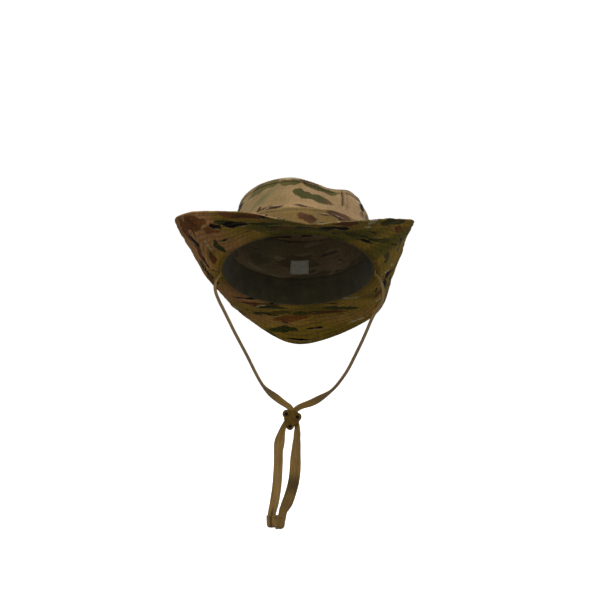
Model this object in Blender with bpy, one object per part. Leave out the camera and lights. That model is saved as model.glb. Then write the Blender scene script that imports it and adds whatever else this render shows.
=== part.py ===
"""Boonie hat: a soft crown with four screened vents, a wide stitched brim that is curled up at the
sides, an inner sweatband, an outer foliage band, and a tape chin strap with a riveted slider.

Row frame in metres: the origin is the centre of the head opening, +Z is up as the hat is worn,
-Y is the wearer's front, +X is the wearer's left. The hat sits tilted back by TILT.
"""

import math

import bmesh
import bpy
import numpy as np

MM = 0.001
TILT = math.radians(22.0)
AROUND = 56  # facets round the head

# The head opening and the crown, in millimetres.
BASE_HALF = (85.8, 102.8)  # the wall's outer half axes at its foot, across and along the head
SEAM_HALF = (68.8, 86.8)  # the same at the top seam
WALL_BULGE = 2.0
CROWN_LEAN = 3.0  # how far the top seam's centre lies towards +X
WALL_FOOT = 2.0
SEAM_HEIGHT = 72.0
DENT_DEPTH = 9.5  # the front of the seam is pushed in here
DENT_AT, DENT_SPREAD = 26.0, 20.0
PINCH_DEPTH = 2.0
PINCH_AT, PINCH_SPREAD = 56.0, 10.0
DOME = 6.0
CLOTH = 1.4
GAP = 0.35
SEAM_GAP_DEG = 0.14  # half of the slit between two panels

BAND_LOW, BAND_HIGH, BAND_CLOTH = 4.0, 32.0, 1.1
SWEAT_LOW, SWEAT_HIGH, SWEAT_CLOTH = -1.4, 29.0, 1.2

# The brim.
RING_INNER = (84.3, 101.3)  # the flat seam ring under the wall
RING_OUTER = (87.5, 104.5)
SKIN_NEAR, SKIN_FAR = 0.75, 1.5
INTERLINING_HALF = 0.42
CREASE_SHARE = 0.3  # how far the section keeps to its crease, as a share of the flap
# The brim's outer edge: degrees round from the front, then across, back and up, and last how far
# the brim lies flat from the seam ring before its crease.
BRIM_EDGE = (
    (-155, -63.0, 141.0, -52.0, 30.0),
    (-125, -102.8, 103.5, -8.9, 22.0),
    (-90, -127.2, 30.2, 33.2, 12.0),
    (-70, -134.0, -36.0, 53.1, 10.0),
    (-50, -104.6, -93.0, 60.4, 18.0),
    (-25, -60.4, -140.5, 58.4, 18.0),
    (0, 0.2, -158.2, 46.2, 14.0),
    (25, 55.0, -145.5, 48.9, 12.0),
    (50, 96.0, -108.0, 51.6, 10.0),
    (70, 124.2, -50.0, 52.6, 7.0),
    (90, 119.7, 30.0, 35.5, 6.0),
    (125, 109.3, 95.8, -4.4, 27.0),
    (155, 88.0, 118.0, -53.0, 42.0),
    (180, 2.0, 139.0, -86.0, 30.0),
)
SECTION = (0.0, 0.12, 0.25, 0.41, 0.6, 0.8, 0.97, 1.0)  # where the facets meet across the brim

# The vents.
VENT_ANGLES = {"front_right": -63.0, "front_left": 63.0, "back_right": -117.0, "back_left": 117.0}
VENT_HEIGHT = 0.80  # share of the wall's height
VENT_HOLE, VENT_BARREL, VENT_FLANGE = 3.0, 3.8, 5.2
VENT_SIDES = 18

# The chin strap and its slider. Routes are across and up, in the plane through the two anchors.
PIVOT_UP = -3.5
TAPE_WIDTH, TAPE_THICK = 12.7, 1.5
RIGHT_ROUTE = (
    (-86.0, -3.6),
    (-91.8, -13.5),
    (-92.0, -23.0),
    (-88.1, -34.0),
    (-82.5, -45.2),
    (-71.4, -67.5),
    (-59.6, -90.0),
    (-40.1, -127.1),
    (-22.0, -144.0),
    (-10.0, -152.5),
    (-7.2, -158.0),
    (-6.6, -163.5),
)
LEFT_ROUTE = (
    (86.0, -3.6),
    (93.5, -15.0),
    (94.5, -33.5),
    (83.6, -52.0),
    (71.9, -78.6),
    (61.0, -101.0),
    (52.4, -116.0),
    (38.0, -134.0),
    (18.0, -146.5),
    (2.5, -152.5),
    (-4.4, -158.0),
    (-6.4, -163.5),
)
RIGHT_TAIL = (
    (-14.8, -172.5),
    (-17.2, -178.0),
    (-20.3, -190.0),
    (-21.7, -201.0),
    (-22.0, -213.0),
    (-22.6, -226.0),
    (-24.4, -246.0),
    (-27.2, -260.0),
    (-29.7, -271.4),
)
LEFT_TAIL = (
    (-1.2, -172.5),
    (-0.8, -178.0),
    (-1.5, -190.0),
    (-2.6, -208.0),
    (-3.3, -223.5),
    (-4.7, -235.0),
    (-7.4, -246.0),
    (-11.2, -257.5),
    (-14.4, -264.3),
    (-16.3, -268.2),
    (-17.1, -271.0),
)
TAPE_STEPS = 22
TAB_SIZE = (20.5, 4.0, 15.5)
TAB_CENTRE = (-24.8, 0.0, -281.0)
SLIDER_CENTRE = (-6.7, -165.0)
SLIDER_RIVETS = ((-12.8, -160.4), (-0.6, -163.7), (-8.9, -173.9))
SLIDER_LOBE = 4.6
SLIDER_WAIST = 9.0
PLATE_NEAR, PLATE_FAR = 2.0, 3.7
RIVET_SHAFT, RIVET_HEAD, RIVET_HEAD_HIGH = 1.25, 2.1, 0.7

COLOURS = {
    "camo_cloth": (0.33, 0.26, 0.16),
    "camo_cloth_light": (0.45, 0.36, 0.25),
    "lining_cloth": (0.22, 0.19, 0.12),
    "olive_cloth": (0.20, 0.18, 0.10),
    "vent_metal": (0.05, 0.045, 0.035),
    "vent_mesh": (0.03, 0.03, 0.025),
    "strap_tape": (0.30, 0.20, 0.09),
    "slider_leather": (0.22, 0.14, 0.05),
    "rivet_metal": (0.03, 0.025, 0.02),
    "label_cloth": (0.75, 0.73, 0.68),
}


def smooth(values, knots, at):
    """Cubic through values at knots in degrees, closed round the circle."""
    knots = np.asarray(knots, float)
    values = np.asarray(values, float)
    count = len(knots)
    at = (at - knots[0]) % 360.0 + knots[0]
    i = int(np.searchsorted(knots, at, side="right")) - 1
    index = [(i + k) % count for k in (-1, 0, 1, 2)]
    place = [knots[(i + k) % count] + 360.0 * ((i + k) // count) for k in (-1, 0, 1, 2)]
    p0, p1, p2, p3 = (values[k] for k in index)
    t0, t1, t2, t3 = place
    slope1 = (p2 - p0) / (t2 - t0)
    slope2 = (p3 - p1) / (t3 - t1)
    span = t2 - t1
    u = (at - t1) / span
    return (
        (2 * u**3 - 3 * u**2 + 1) * p1
        + (u**3 - 2 * u**2 + u) * span * slope1
        + (3 * u**2 - 2 * u**3) * p2
        + (u**3 - u**2) * span * slope2
    )


def worn(point):
    """A point given square to the crown, in millimetres, as the hat is worn, in metres."""
    x, y, z = point
    c, s = math.cos(TILT), math.sin(TILT)
    return np.array((x, y * c + z * s, -y * s + z * c)) * MM


def oval(half, degrees):
    a = math.radians(degrees)
    return np.array((half[0] * math.sin(a), -half[1] * math.cos(a)))


def seam_height(degrees):
    d = (degrees + 180.0) % 360.0 - 180.0
    dent = DENT_DEPTH * math.exp(-(((d - DENT_AT) / DENT_SPREAD) ** 2))
    pinch = PINCH_DEPTH * math.exp(-(((d - PINCH_AT) / PINCH_SPREAD) ** 2))
    return SEAM_HEIGHT - dent - pinch


def wall_point(degrees, t, out):
    """A point of the crown wall, t of the way up, out millimetres outside its outer face."""
    bulge = 4 * WALL_BULGE * max(t, 0.0) * (1 - t)
    half = [b + (s - b) * t + bulge + out for b, s in zip(BASE_HALF, SEAM_HALF)]
    x, y = oval(half, degrees)
    return np.array((x + CROWN_LEAN * t, y, seam_height(degrees) * t))


def wall_at(degrees, height, out):
    """The same at a height above the opening; below the wall's foot it goes straight down."""
    point = wall_point(degrees, max(height, WALL_FOOT) / seam_height(degrees), out)
    return point + np.array((0.0, 0.0, min(height - WALL_FOOT, 0.0)))


def brim_row(degrees, column):
    return smooth([row[column] for row in BRIM_EDGE], [row[0] for row in BRIM_EDGE], degrees)


def outward(degrees):
    """The direction straight out of the seam ring, in the plane of the opening."""
    a = math.radians(degrees)
    way = np.array((math.sin(a) / RING_OUTER[0], -math.cos(a) / RING_OUTER[1]))
    return worn((*way / np.linalg.norm(way), 0)) / MM


def brim_mid(degrees, s):
    """The brim's middle surface: s below 0 is the flat seam ring, s from 0 to 1 the brim itself."""
    if s < 0:
        return worn((*oval(RING_INNER, degrees), 0))
    inner = worn((*oval(RING_OUTER, degrees), 0))
    outer = np.array([brim_row(degrees, k) for k in (1, 2, 3)]) * MM
    crease = inner + outward(degrees) * brim_row(degrees, 4) * MM
    flap = crease + (outer - crease) * CREASE_SHARE
    r = 1 - s
    return inner * r**3 + crease * 3 * s * r**2 + flap * 3 * s**2 * r + outer * s**3


def unit(v):
    return v / np.linalg.norm(v)


def brim_normal(degrees, s):
    up = worn((0, 0, 1)) / MM
    if s < 0:
        return up
    low, high = max(s - 0.02, 0.0), min(s + 0.02, 1.0)
    across = brim_mid(degrees, high) - brim_mid(degrees, low)
    round_it = brim_mid(degrees + 0.5, s) - brim_mid(degrees - 0.5, s)
    normal = unit(np.cross(across, round_it))
    return unit(normal + up) if s == 0 else normal


def brim_layer(degrees, offset, section=SECTION):
    """One row of a brim layer's face, from the seam ring to the edge."""
    rows = (-1.0, *section)
    return [brim_mid(degrees, s) + brim_normal(degrees, s) * offset * MM for s in rows]


def material(name):
    made = bpy.data.materials.get(name)
    if made is None:
        made = bpy.data.materials.new(name)
        made.use_nodes = True
        bsdf = made.node_tree.nodes["Principled BSDF"]
        bsdf.inputs["Base Color"].default_value = (*COLOURS[name], 1.0)
        bsdf.inputs["Roughness"].default_value = 0.4 if "metal" in name else 0.85
        bsdf.inputs["Metallic"].default_value = 0.8 if "metal" in name else 0.0
    return made


def add(name, vertices, faces, slot):
    """A closed mesh as a node, with its faces turned outwards."""
    mesh = bpy.data.meshes.new(name)
    mesh.from_pydata([tuple(map(float, v)) for v in vertices], [], faces)
    bm = bmesh.new()
    bm.from_mesh(mesh)
    bmesh.ops.recalc_face_normals(bm, faces=bm.faces)
    if bm.calc_volume(signed=True) < 0:
        bmesh.ops.reverse_faces(bm, faces=bm.faces)
    bm.to_mesh(mesh)
    bm.free()
    obj = bpy.data.objects.new(name, mesh)
    obj.data.materials.append(material(slot))
    bpy.context.scene.collection.objects.link(obj)
    return obj


def quad(faces, a, b, c, d):
    faces.append((a, b, c))
    faces.append((a, c, d))


def shell(name, first, second, closed, slot):
    """The solid between two faces given as equal grids of points; closed joins the last row to the first."""
    rows, columns = len(first), len(first[0])
    vertices = [p for grid in (first, second) for row in grid for p in row]
    faces = []

    def at(side, i, j):
        return side * rows * columns + (i % rows) * columns + j

    steps = rows if closed else rows - 1
    for i in range(steps):
        for j in range(columns - 1):
            quad(faces, at(0, i, j), at(0, i + 1, j), at(0, i + 1, j + 1), at(0, i, j + 1))
            quad(faces, at(1, i, j), at(1, i + 1, j), at(1, i + 1, j + 1), at(1, i, j + 1))
        for j in (0, columns - 1):
            quad(faces, at(0, i, j), at(0, i + 1, j), at(1, i + 1, j), at(1, i, j))
    if not closed:
        for i in (0, rows - 1):
            for j in range(columns - 1):
                quad(faces, at(0, i, j), at(0, i, j + 1), at(1, i, j + 1), at(1, i, j))
    return add(name, vertices, faces, slot)


def whole_ring():
    return [360.0 * i / AROUND for i in range(AROUND)]


def half_ring(centre):
    steps = AROUND // 2
    first = centre - 90.0 + SEAM_GAP_DEG
    return [first + (180.0 - 2 * SEAM_GAP_DEG) * i / steps for i in range(steps + 1)]


def brim():
    for half, centre in (("front", 0.0), ("back", 180.0)):
        angles = half_ring(centre)
        for side, sign in (("top", 1), ("under", -1)):
            near = [brim_layer(a, sign * SKIN_NEAR) for a in angles]
            far = [brim_layer(a, sign * SKIN_FAR) for a in angles]
            shell(f"brim_{side}_{half}", near, far, False, "camo_cloth")
    angles = whole_ring()
    section = SECTION[:-1]  # it stops short of the edge, where the skins are sewn together
    upper = [brim_layer(a, INTERLINING_HALF, section) for a in angles]
    lower = [brim_layer(a, -INTERLINING_HALF, section) for a in angles]
    shell("brim_interlining", upper, lower, True, "lining_cloth")


def wall_rows(degrees, out):
    foot = WALL_FOOT / seam_height(degrees)
    return [worn(wall_point(degrees, t, out)) for t in np.linspace(foot, 1.0, 6)]


def vent_frame(degrees):
    """The centre on the wall's outer face and the direction out of it."""
    centre = worn(wall_point(degrees, VENT_HEIGHT, 0))
    round_it = worn(wall_point(degrees + 1, VENT_HEIGHT, 0)) - worn(wall_point(degrees - 1, VENT_HEIGHT, 0))
    upward = worn(wall_point(degrees, VENT_HEIGHT + 0.02, 0)) - centre
    return centre, unit(np.cross(round_it, upward))


def turned(name, centre, axis, profile, slot, sides=VENT_SIDES):
    """A ring turned round an axis: the profile is a closed outline of (radius, along) in millimetres."""
    side = unit(np.cross(axis, (0.0, 0.0, 1.0) if abs(axis[2]) < 0.9 else (1.0, 0.0, 0.0)))
    other = np.cross(axis, side)
    vertices = []
    for k in range(sides):
        a = 2 * math.pi * k / sides
        out = side * math.cos(a) + other * math.sin(a)
        vertices += [centre + (out * r + axis * z) * MM for r, z in profile]
    count, faces = len(profile), []
    for k in range(sides):
        for j in range(count):
            a, b = k * count + j, k * count + (j + 1) % count
            c, d = (a + count) % len(vertices), (b + count) % len(vertices)
            quad(faces, a, b, d, c)
    return add(name, vertices, faces, slot)


def disc(name, centre, axis, radius, low, high, slot, sides=VENT_SIDES):
    """A flat round plate from low to high along its axis."""
    side = unit(np.cross(axis, (0.0, 0.0, 1.0) if abs(axis[2]) < 0.9 else (1.0, 0.0, 0.0)))
    other = np.cross(axis, side)
    vertices, faces = [], []
    for z in (low, high):
        for k in range(sides):
            a = 2 * math.pi * k / sides
            out = side * math.cos(a) + other * math.sin(a)
            vertices.append(centre + (out * radius + axis * z) * MM)
    for k in range(sides):
        n = (k + 1) % sides
        quad(faces, k, n, n + sides, k + sides)
    faces.append(tuple(range(sides)))
    faces.append(tuple(range(sides, 2 * sides)))
    return add(name, vertices, faces, slot)


def crown():
    panels = {}
    for half, centre in (("front", 0.0), ("back", 180.0)):
        angles = half_ring(centre)
        outer = [wall_rows(a, 0.0) for a in angles]
        inner = [wall_rows(a, -CLOTH) for a in angles]
        panels[half] = shell(f"crown_{half}", outer, inner, False, "camo_cloth_light")
    for name, degrees in VENT_ANGLES.items():
        centre, axis = vent_frame(degrees)
        cutter = disc(f"cut_{name}", centre, axis, VENT_BARREL + 0.25, -6.0, 6.0, "vent_metal")
        cutter.hide_render = True
        cutter.display_type = "WIRE"
        cut = panels[name.split("_")[0]].modifiers.new(f"vent_{name}", "BOOLEAN")
        cut.operation = "DIFFERENCE"
        cut.solver = "EXACT"
        cut.object = cutter
        back = -CLOTH - 2.2
        eyelet = (
            (VENT_HOLE, 1.0),
            (VENT_FLANGE - 0.4, 1.0),
            (VENT_FLANGE, 0.7),
            (VENT_FLANGE, GAP),
            (VENT_BARREL, GAP),
            (VENT_BARREL, back),
            (VENT_HOLE, back),
        )
        turned(f"vent_eyelet_{name}", centre, axis, eyelet, "vent_metal")
        washer_near, washer_far = -CLOTH - 0.65, -CLOTH - 1.4
        washer = (
            (VENT_BARREL + 0.15, washer_near),
            (VENT_FLANGE + 0.2, washer_near),
            (VENT_FLANGE + 0.2, washer_far),
            (VENT_BARREL + 0.15, washer_far),
        )
        turned(f"vent_washer_{name}", centre, axis, washer, "vent_metal")
        disc(f"vent_screen_{name}", centre, axis, VENT_HOLE - 0.15, -0.9, -0.5, "vent_mesh")

    angles = whole_ring()
    top_panel(angles)
    outer = [[top_seam_point(a, GAP + 1.0, up) for up in (-3.0, 0.0, 1.1)] for a in angles]
    inner = [[top_seam_point(a, GAP, up) for up in (-3.4, 0.0, 1.5)] for a in angles]
    shell("top_seam_tape", outer, inner, True, "camo_cloth_light")

    outer = [[worn(wall_at(a, z, GAP + BAND_CLOTH)) for z in np.linspace(BAND_LOW, BAND_HIGH, 3)] for a in angles]
    inner = [[worn(wall_at(a, z, GAP)) for z in np.linspace(BAND_LOW, BAND_HIGH, 3)] for a in angles]
    shell("foliage_band", outer, inner, True, "camo_cloth")

    heights = (SWEAT_LOW, WALL_FOOT, (WALL_FOOT + SWEAT_HIGH) / 2, SWEAT_HIGH)
    near = -CLOTH - GAP
    outer = [[worn(wall_at(a, z, near)) for z in heights] for a in angles]
    inner = [[worn(wall_at(a, z, near - SWEAT_CLOTH)) for z in heights] for a in angles]
    shell("sweatband", outer, inner, True, "olive_cloth")

    angles = [172.0 + 4.0 * k for k in range(5)]
    heights = (35.0, 43.0, 51.0)
    outer = [[worn(wall_at(a, z, near)) for z in heights] for a in angles]
    inner = [[worn(wall_at(a, z, near - 0.5)) for z in heights] for a in angles]
    shell("size_label", outer, inner, False, "label_cloth")


def top_seam_point(degrees, out, up):
    """A point out from the wall's top edge: up is millimetres above the edge, or down the wall."""
    point = wall_at(degrees, seam_height(degrees) + min(up, 0.0), out)
    return worn((point[0], point[1], point[2] + max(up, 0.0)))


def top_panel(angles):
    """The oval top: rings that close on a centre point, with the dome between."""
    shares = (1.0, 0.8, 0.55, 0.28)
    vertices, faces = [], []
    for up in (GAP + CLOTH, GAP):
        start = len(vertices)
        for share in shares:
            for a in angles:
                edge = wall_point(a, 1.0, 0.0)
                x = CROWN_LEAN + (edge[0] - CROWN_LEAN) * share
                z = edge[2] * share**1.6 + (SEAM_HEIGHT + DOME) * (1 - share**1.6)
                vertices.append(worn((x, edge[1] * share, z + up)))
        vertices.append(worn((CROWN_LEAN, 0.0, SEAM_HEIGHT + DOME + up)))
        centre = len(vertices) - 1
        for k in range(len(shares) - 1):
            for i in range(AROUND):
                n = (i + 1) % AROUND
                a, b = start + k * AROUND + i, start + k * AROUND + n
                quad(faces, a, b, b + AROUND, a + AROUND)
        last = start + (len(shares) - 1) * AROUND
        for i in range(AROUND):
            faces.append((last + i, last + (i + 1) % AROUND, centre))
    second = len(shares) * AROUND + 1
    for i in range(AROUND):
        n = (i + 1) % AROUND
        quad(faces, i, n, second + n, second + i)
    return add("crown_top", vertices, faces, "camo_cloth_light")


def route(points, steps):
    """Points evenly spaced along a smooth line through the given ones."""
    points = np.array(points, float)
    padded = np.vstack([2 * points[0] - points[1], points, 2 * points[-1] - points[-2]])
    fine = []
    for i in range(1, len(padded) - 2):
        p0, p1, p2, p3 = padded[i - 1 : i + 3]
        for u in np.linspace(0, 1, 16, endpoint=False):
            fine.append(
                0.5
                * (
                    2 * p1
                    + (p2 - p0) * u
                    + (2 * p0 - 5 * p1 + 4 * p2 - p3) * u**2
                    + (3 * p1 - p0 - 3 * p2 + p3) * u**3
                )
            )
    fine.append(points[-1])
    fine = np.array(fine)
    run = np.concatenate([[0], np.cumsum(np.linalg.norm(np.diff(fine, axis=0), axis=1))])
    at = np.linspace(0, run[-1], steps + 1)
    return np.stack([np.interp(at, run, fine[:, k]) for k in (0, 1)], axis=1), at


def tape(name, points, depth, twist, width, slot="strap_tape", steps=TAPE_STEPS):
    """Flat tape along a route. depth, twist and width each give a value for the share of the way along:
    millimetres back from the strap's plane, degrees that the tape faces the front, and millimetres."""
    line, run = route(points, steps)
    tangents = np.gradient(line, axis=0)
    vertices, faces = [], []
    for (x, z), (tx, tz), at in zip(line, tangents, run):
        share = at / run[-1]
        along = unit(np.array((tx, 0.0, tz)))
        flat = np.array((along[2], 0.0, -along[0]))
        turn = math.radians(twist(share))
        normal = flat * math.cos(turn) + np.array((0.0, -1.0, 0.0)) * math.sin(turn)
        across = np.cross(along, normal)
        centre = np.array((x, depth(share), z))
        for u, v in ((-1, -1), (1, -1), (1, 1), (-1, 1)):
            corner = centre + across * u * width(share) / 2 + normal * v * TAPE_THICK / 2
            vertices.append(corner * MM)
    for i in range(steps):
        for k in range(4):
            n = (k + 1) % 4
            quad(faces, 4 * i + k, 4 * i + n, 4 * i + 4 + n, 4 * i + 4 + k)
    quad(faces, 0, 1, 2, 3)
    end = 4 * steps
    quad(faces, end, end + 1, end + 2, end + 3)
    return add(name, vertices, faces, slot)


def ramp(share, first, last):
    u = min(max((share - first) / (last - first), 0.0), 1.0)
    return u * u * (3 - 2 * u)


def strap():
    gathered, narrow, folded = 3.2, 6.8, 9.6
    for name, points, sign in (
        ("chin_strap_right_upper", RIGHT_ROUTE, -1),
        ("chin_strap_left_upper", LEFT_ROUTE, 1),
    ):
        tape(
            name,
            points,
            lambda share, sign=sign: sign * 1.0 * ramp(share, 0.75, 0.93),
            lambda share, sign=sign: -sign * (14 + 76 * ramp(share, 0.72, 0.95)),
            lambda share: gathered
            + (TAPE_WIDTH - gathered) * ramp(share, 0.0, 0.08)
            - (TAPE_WIDTH - narrow) * ramp(share, 0.76, 0.93),
        )
    for name, points, turns in (
        ("chin_strap_right_tail", RIGHT_TAIL, ((0.1, 0.3, -36.0), (0.8, 0.95, 36.0))),
        ("chin_strap_left_tail", LEFT_TAIL, ((0.05, 0.15, 40.0), (0.2, 0.5, -40.0))),
    ):
        tape(
            name,
            points,
            lambda share: 0.0,
            lambda share, turns=turns: 90.0 + sum(by * ramp(share, a, b) for a, b, by in turns),
            lambda share: narrow
            + (TAPE_WIDTH - narrow) * ramp(share, 0.02, 0.2)
            - (TAPE_WIDTH - folded) * ramp(share, 0.8, 0.96),
            steps=18,
        )
    end_tab()


def end_tab():
    """The folded, sewn end that joins the two tails: a block with its corners taken off."""
    wide, deep, high = (v / 2 for v in TAB_SIZE)
    cut = 2.0
    outline = (
        (-wide, high),
        (wide, high),
        (wide, -high + cut),
        (wide - cut, -high),
        (-wide + cut, -high),
        (-wide, -high + cut),
    )
    vertices = []
    for y in (-deep, deep):
        for x, z in outline:
            vertices.append((np.array((x, y, z)) + TAB_CENTRE) * MM)
    faces = [tuple(range(6)), tuple(range(6, 12))]
    for k in range(6):
        n = (k + 1) % 6
        quad(faces, k, n, n + 6, k + 6)
    add("strap_end_tab", vertices, faces, "strap_tape")


def slider_outline():
    """Three lobes round the rivets, joined by a round middle."""
    centre = np.array(SLIDER_CENTRE)
    points = []
    for k in range(36):
        a = 2 * math.pi * k / 36
        way = np.array((math.cos(a), math.sin(a)))
        reach = SLIDER_WAIST
        for rivet in SLIDER_RIVETS:
            offset = np.array(rivet) - centre
            along = way @ offset
            beside = offset @ offset - along**2
            if along > 0 and beside < SLIDER_LOBE**2:
                reach = max(reach, along + math.sqrt(SLIDER_LOBE**2 - beside))
        points.append(centre + way * reach)
    return points


def slider():
    outline = slider_outline()
    for name, near, far in (("slider_front", -PLATE_NEAR, -PLATE_FAR), ("slider_back", PLATE_NEAR, PLATE_FAR)):
        vertices = [np.array((x, y, z)) * MM for y in (near, far) for x, z in outline]
        count = len(outline)
        faces = [tuple(range(count)), tuple(range(count, 2 * count))]
        for k in range(count):
            n = (k + 1) % count
            quad(faces, k, n, n + count, k + count)
        plate = add(name, vertices, faces, "slider_leather")
        for k, (x, z) in enumerate(SLIDER_RIVETS):
            cutter = disc(
                f"cut_{name}_{k}",
                np.array((x, 0.0, z)) * MM,
                np.array((0.0, 1.0, 0.0)),
                RIVET_SHAFT + 0.15,
                -6.0,
                6.0,
                "rivet_metal",
                14,
            )
            cutter.hide_render = True
            cutter.display_type = "WIRE"
            cut = plate.modifiers.new(f"rivet_{k}", "BOOLEAN")
            cut.operation = "DIFFERENCE"
            cut.solver = "EXACT"
            cut.object = cutter
    face = PLATE_FAR + 0.2
    for k, (x, z) in enumerate(SLIDER_RIVETS):
        rivet(f"slider_rivet_{k + 1}", x, z, face)


def rivet(name, x, z, face):
    """A shaft with a low domed head at each end, turned round its own axis."""
    high = face + RIVET_HEAD_HIGH
    rings = (
        (RIVET_HEAD * 0.65, -high),
        (RIVET_HEAD, -face - 0.25),
        (RIVET_HEAD, -face),
        (RIVET_SHAFT, -face),
        (RIVET_SHAFT, face),
        (RIVET_HEAD, face),
        (RIVET_HEAD, face + 0.25),
        (RIVET_HEAD * 0.65, high),
    )
    sides = 14
    vertices, faces = [], []
    for radius, y in rings:
        for k in range(sides):
            a = 2 * math.pi * k / sides
            vertices.append(np.array((x + radius * math.cos(a), y, z + radius * math.sin(a))) * MM)
    for j in range(len(rings) - 1):
        for k in range(sides):
            n = (k + 1) % sides
            quad(faces, j * sides + k, j * sides + n, (j + 1) * sides + n, (j + 1) * sides + k)
    faces.append(tuple(range(sides)))
    faces.append(tuple(range((len(rings) - 1) * sides, len(rings) * sides)))
    add(name, vertices, faces, "rivet_metal")


def joint_frame(name, place, pieces):
    """An empty on a joint's axis, with the pieces that it moves under it."""
    empty = bpy.data.objects.new(name, None)
    empty.empty_display_size = 0.02
    empty.location = place
    bpy.context.scene.collection.objects.link(empty)
    bpy.context.view_layer.update()
    for piece in pieces:
        obj = bpy.data.objects[piece]
        obj.parent = empty
        obj.matrix_parent_inverse = empty.matrix_world.inverted()
    return empty


def main():
    for obj in list(bpy.data.objects):
        bpy.data.objects.remove(obj, do_unlink=True)
    brim()
    crown()
    strap()
    slider()
    strap_names = ["chin_strap_right_upper", "chin_strap_left_upper", "chin_strap_right_tail"]
    strap_names += ["chin_strap_left_tail", "strap_end_tab"]
    slider_names = ["slider_front", "slider_back", "slider_rivet_1", "slider_rivet_2", "slider_rivet_3"]
    swing = joint_frame("chin_strap_frame", (0.0, 0.0, PIVOT_UP * MM), strap_names)
    place = (SLIDER_CENTRE[0] * MM, 0.0, SLIDER_CENTRE[1] * MM)
    slide = joint_frame("slider_frame", place, slider_names)
    slide.parent = swing
    slide.matrix_parent_inverse = swing.matrix_world.inverted()


main()
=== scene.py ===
"""Looks of the boonie hat: fine cloth, stitching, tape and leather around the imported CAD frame.

Row frame in metres: the origin is the centre of the head opening, +Z is up as the hat is worn,
-Y is the wearer's front, +X is the wearer's left. Shapes are worked out in millimetres.
"""

import math

import bmesh
import bpy
import numpy as np
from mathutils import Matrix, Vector


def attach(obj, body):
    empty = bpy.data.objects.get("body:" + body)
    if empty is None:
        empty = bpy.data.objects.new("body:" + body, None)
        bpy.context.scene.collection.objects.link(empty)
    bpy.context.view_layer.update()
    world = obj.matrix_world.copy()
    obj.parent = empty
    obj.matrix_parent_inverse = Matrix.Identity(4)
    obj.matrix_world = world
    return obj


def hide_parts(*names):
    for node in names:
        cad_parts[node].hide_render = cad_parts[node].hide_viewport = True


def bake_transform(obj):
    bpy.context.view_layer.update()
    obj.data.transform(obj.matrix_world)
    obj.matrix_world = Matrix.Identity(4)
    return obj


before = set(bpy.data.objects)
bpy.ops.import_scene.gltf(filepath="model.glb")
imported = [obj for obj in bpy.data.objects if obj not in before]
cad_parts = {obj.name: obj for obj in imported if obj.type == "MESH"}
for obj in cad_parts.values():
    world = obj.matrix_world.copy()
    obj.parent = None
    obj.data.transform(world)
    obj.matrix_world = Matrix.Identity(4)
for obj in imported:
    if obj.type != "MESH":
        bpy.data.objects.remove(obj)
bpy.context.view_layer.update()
scene = bpy.context.scene
RNG = np.random.default_rng(7)

MM = 0.001
TILT = math.radians(22.0)

# The crown and the head opening, as in the CAD.
BASE_HALF = (85.8, 102.8)
SEAM_HALF = (68.8, 86.8)
WALL_BULGE = 2.0
WALL_THICK = 1.0
CROWN_LEAN = 3.0
WALL_FOOT = 2.0
SEAM_HEIGHT = 72.0
DENT_DEPTH, DENT_AT, DENT_SPREAD = 9.5, 26.0, 20.0
PINCH_DEPTH, PINCH_AT, PINCH_SPREAD = 2.0, 56.0, 10.0
DOME = 6.0
BAND_LOW, BAND_HIGH = 4.0, 32.0
SWEAT_LOW, SWEAT_HIGH = -1.4, 29.0

# The brim, as in the CAD.
RING_INNER = (84.3, 101.3)
RING_OUTER = (87.5, 104.5)
CREASE_SHARE = 0.3
BRIM_EDGE = (
    (-155, -63.0, 141.0, -52.0, 30.0), (-125, -101.2, 103.5, -8.9, 22.0),
    (-90, -126.2, 30.2, 33.0, 12.0), (-70, -135.0, -36.0, 54.6, 10.0),
    (-60, -123.0, -66.0, 59.8, 14.0), (-50, -104.6, -93.0, 61.2, 18.0),
    (-25, -60.4, -140.5, 58.4, 18.0), (0, 0.2, -158.2, 46.2, 14.0),
    (25, 55.0, -145.5, 48.9, 12.0), (50, 96.0, -108.0, 51.3, 10.0),
    (60, 113.0, -80.5, 52.1, 8.5), (68, 125.4, -55.0, 53.5, 7.0), (76, 125.0, -27.0, 49.2, 6.5),
    (90, 122.0, 30.0, 35.5, 6.0), (125, 109.3, 95.8, -4.4, 27.0),
    (155, 88.0, 118.0, -53.0, 42.0), (180, 2.0, 139.0, -86.0, 30.0),
)

# The vents, as in the CAD.
VENTS = {"front_right": -63.0, "front_left": 63.0, "back_right": -117.0, "back_left": 117.0}
VENT_HEIGHT = 0.80
VENT_HOLE, VENT_BARREL, VENT_FLANGE = 3.0, 3.8, 5.2
WIRE_PITCH, WIRE_HALF, WIRE_HIGH = 0.44, 0.16, 0.1  # the screen's wires

# The strap and slider, as in the CAD: across and up, in the plane y = 0.
TAPE_WIDTH, TAPE_THICK = 12.7, 1.3
SWING_AT = -3.5  # the height of the strap's hinge
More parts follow.
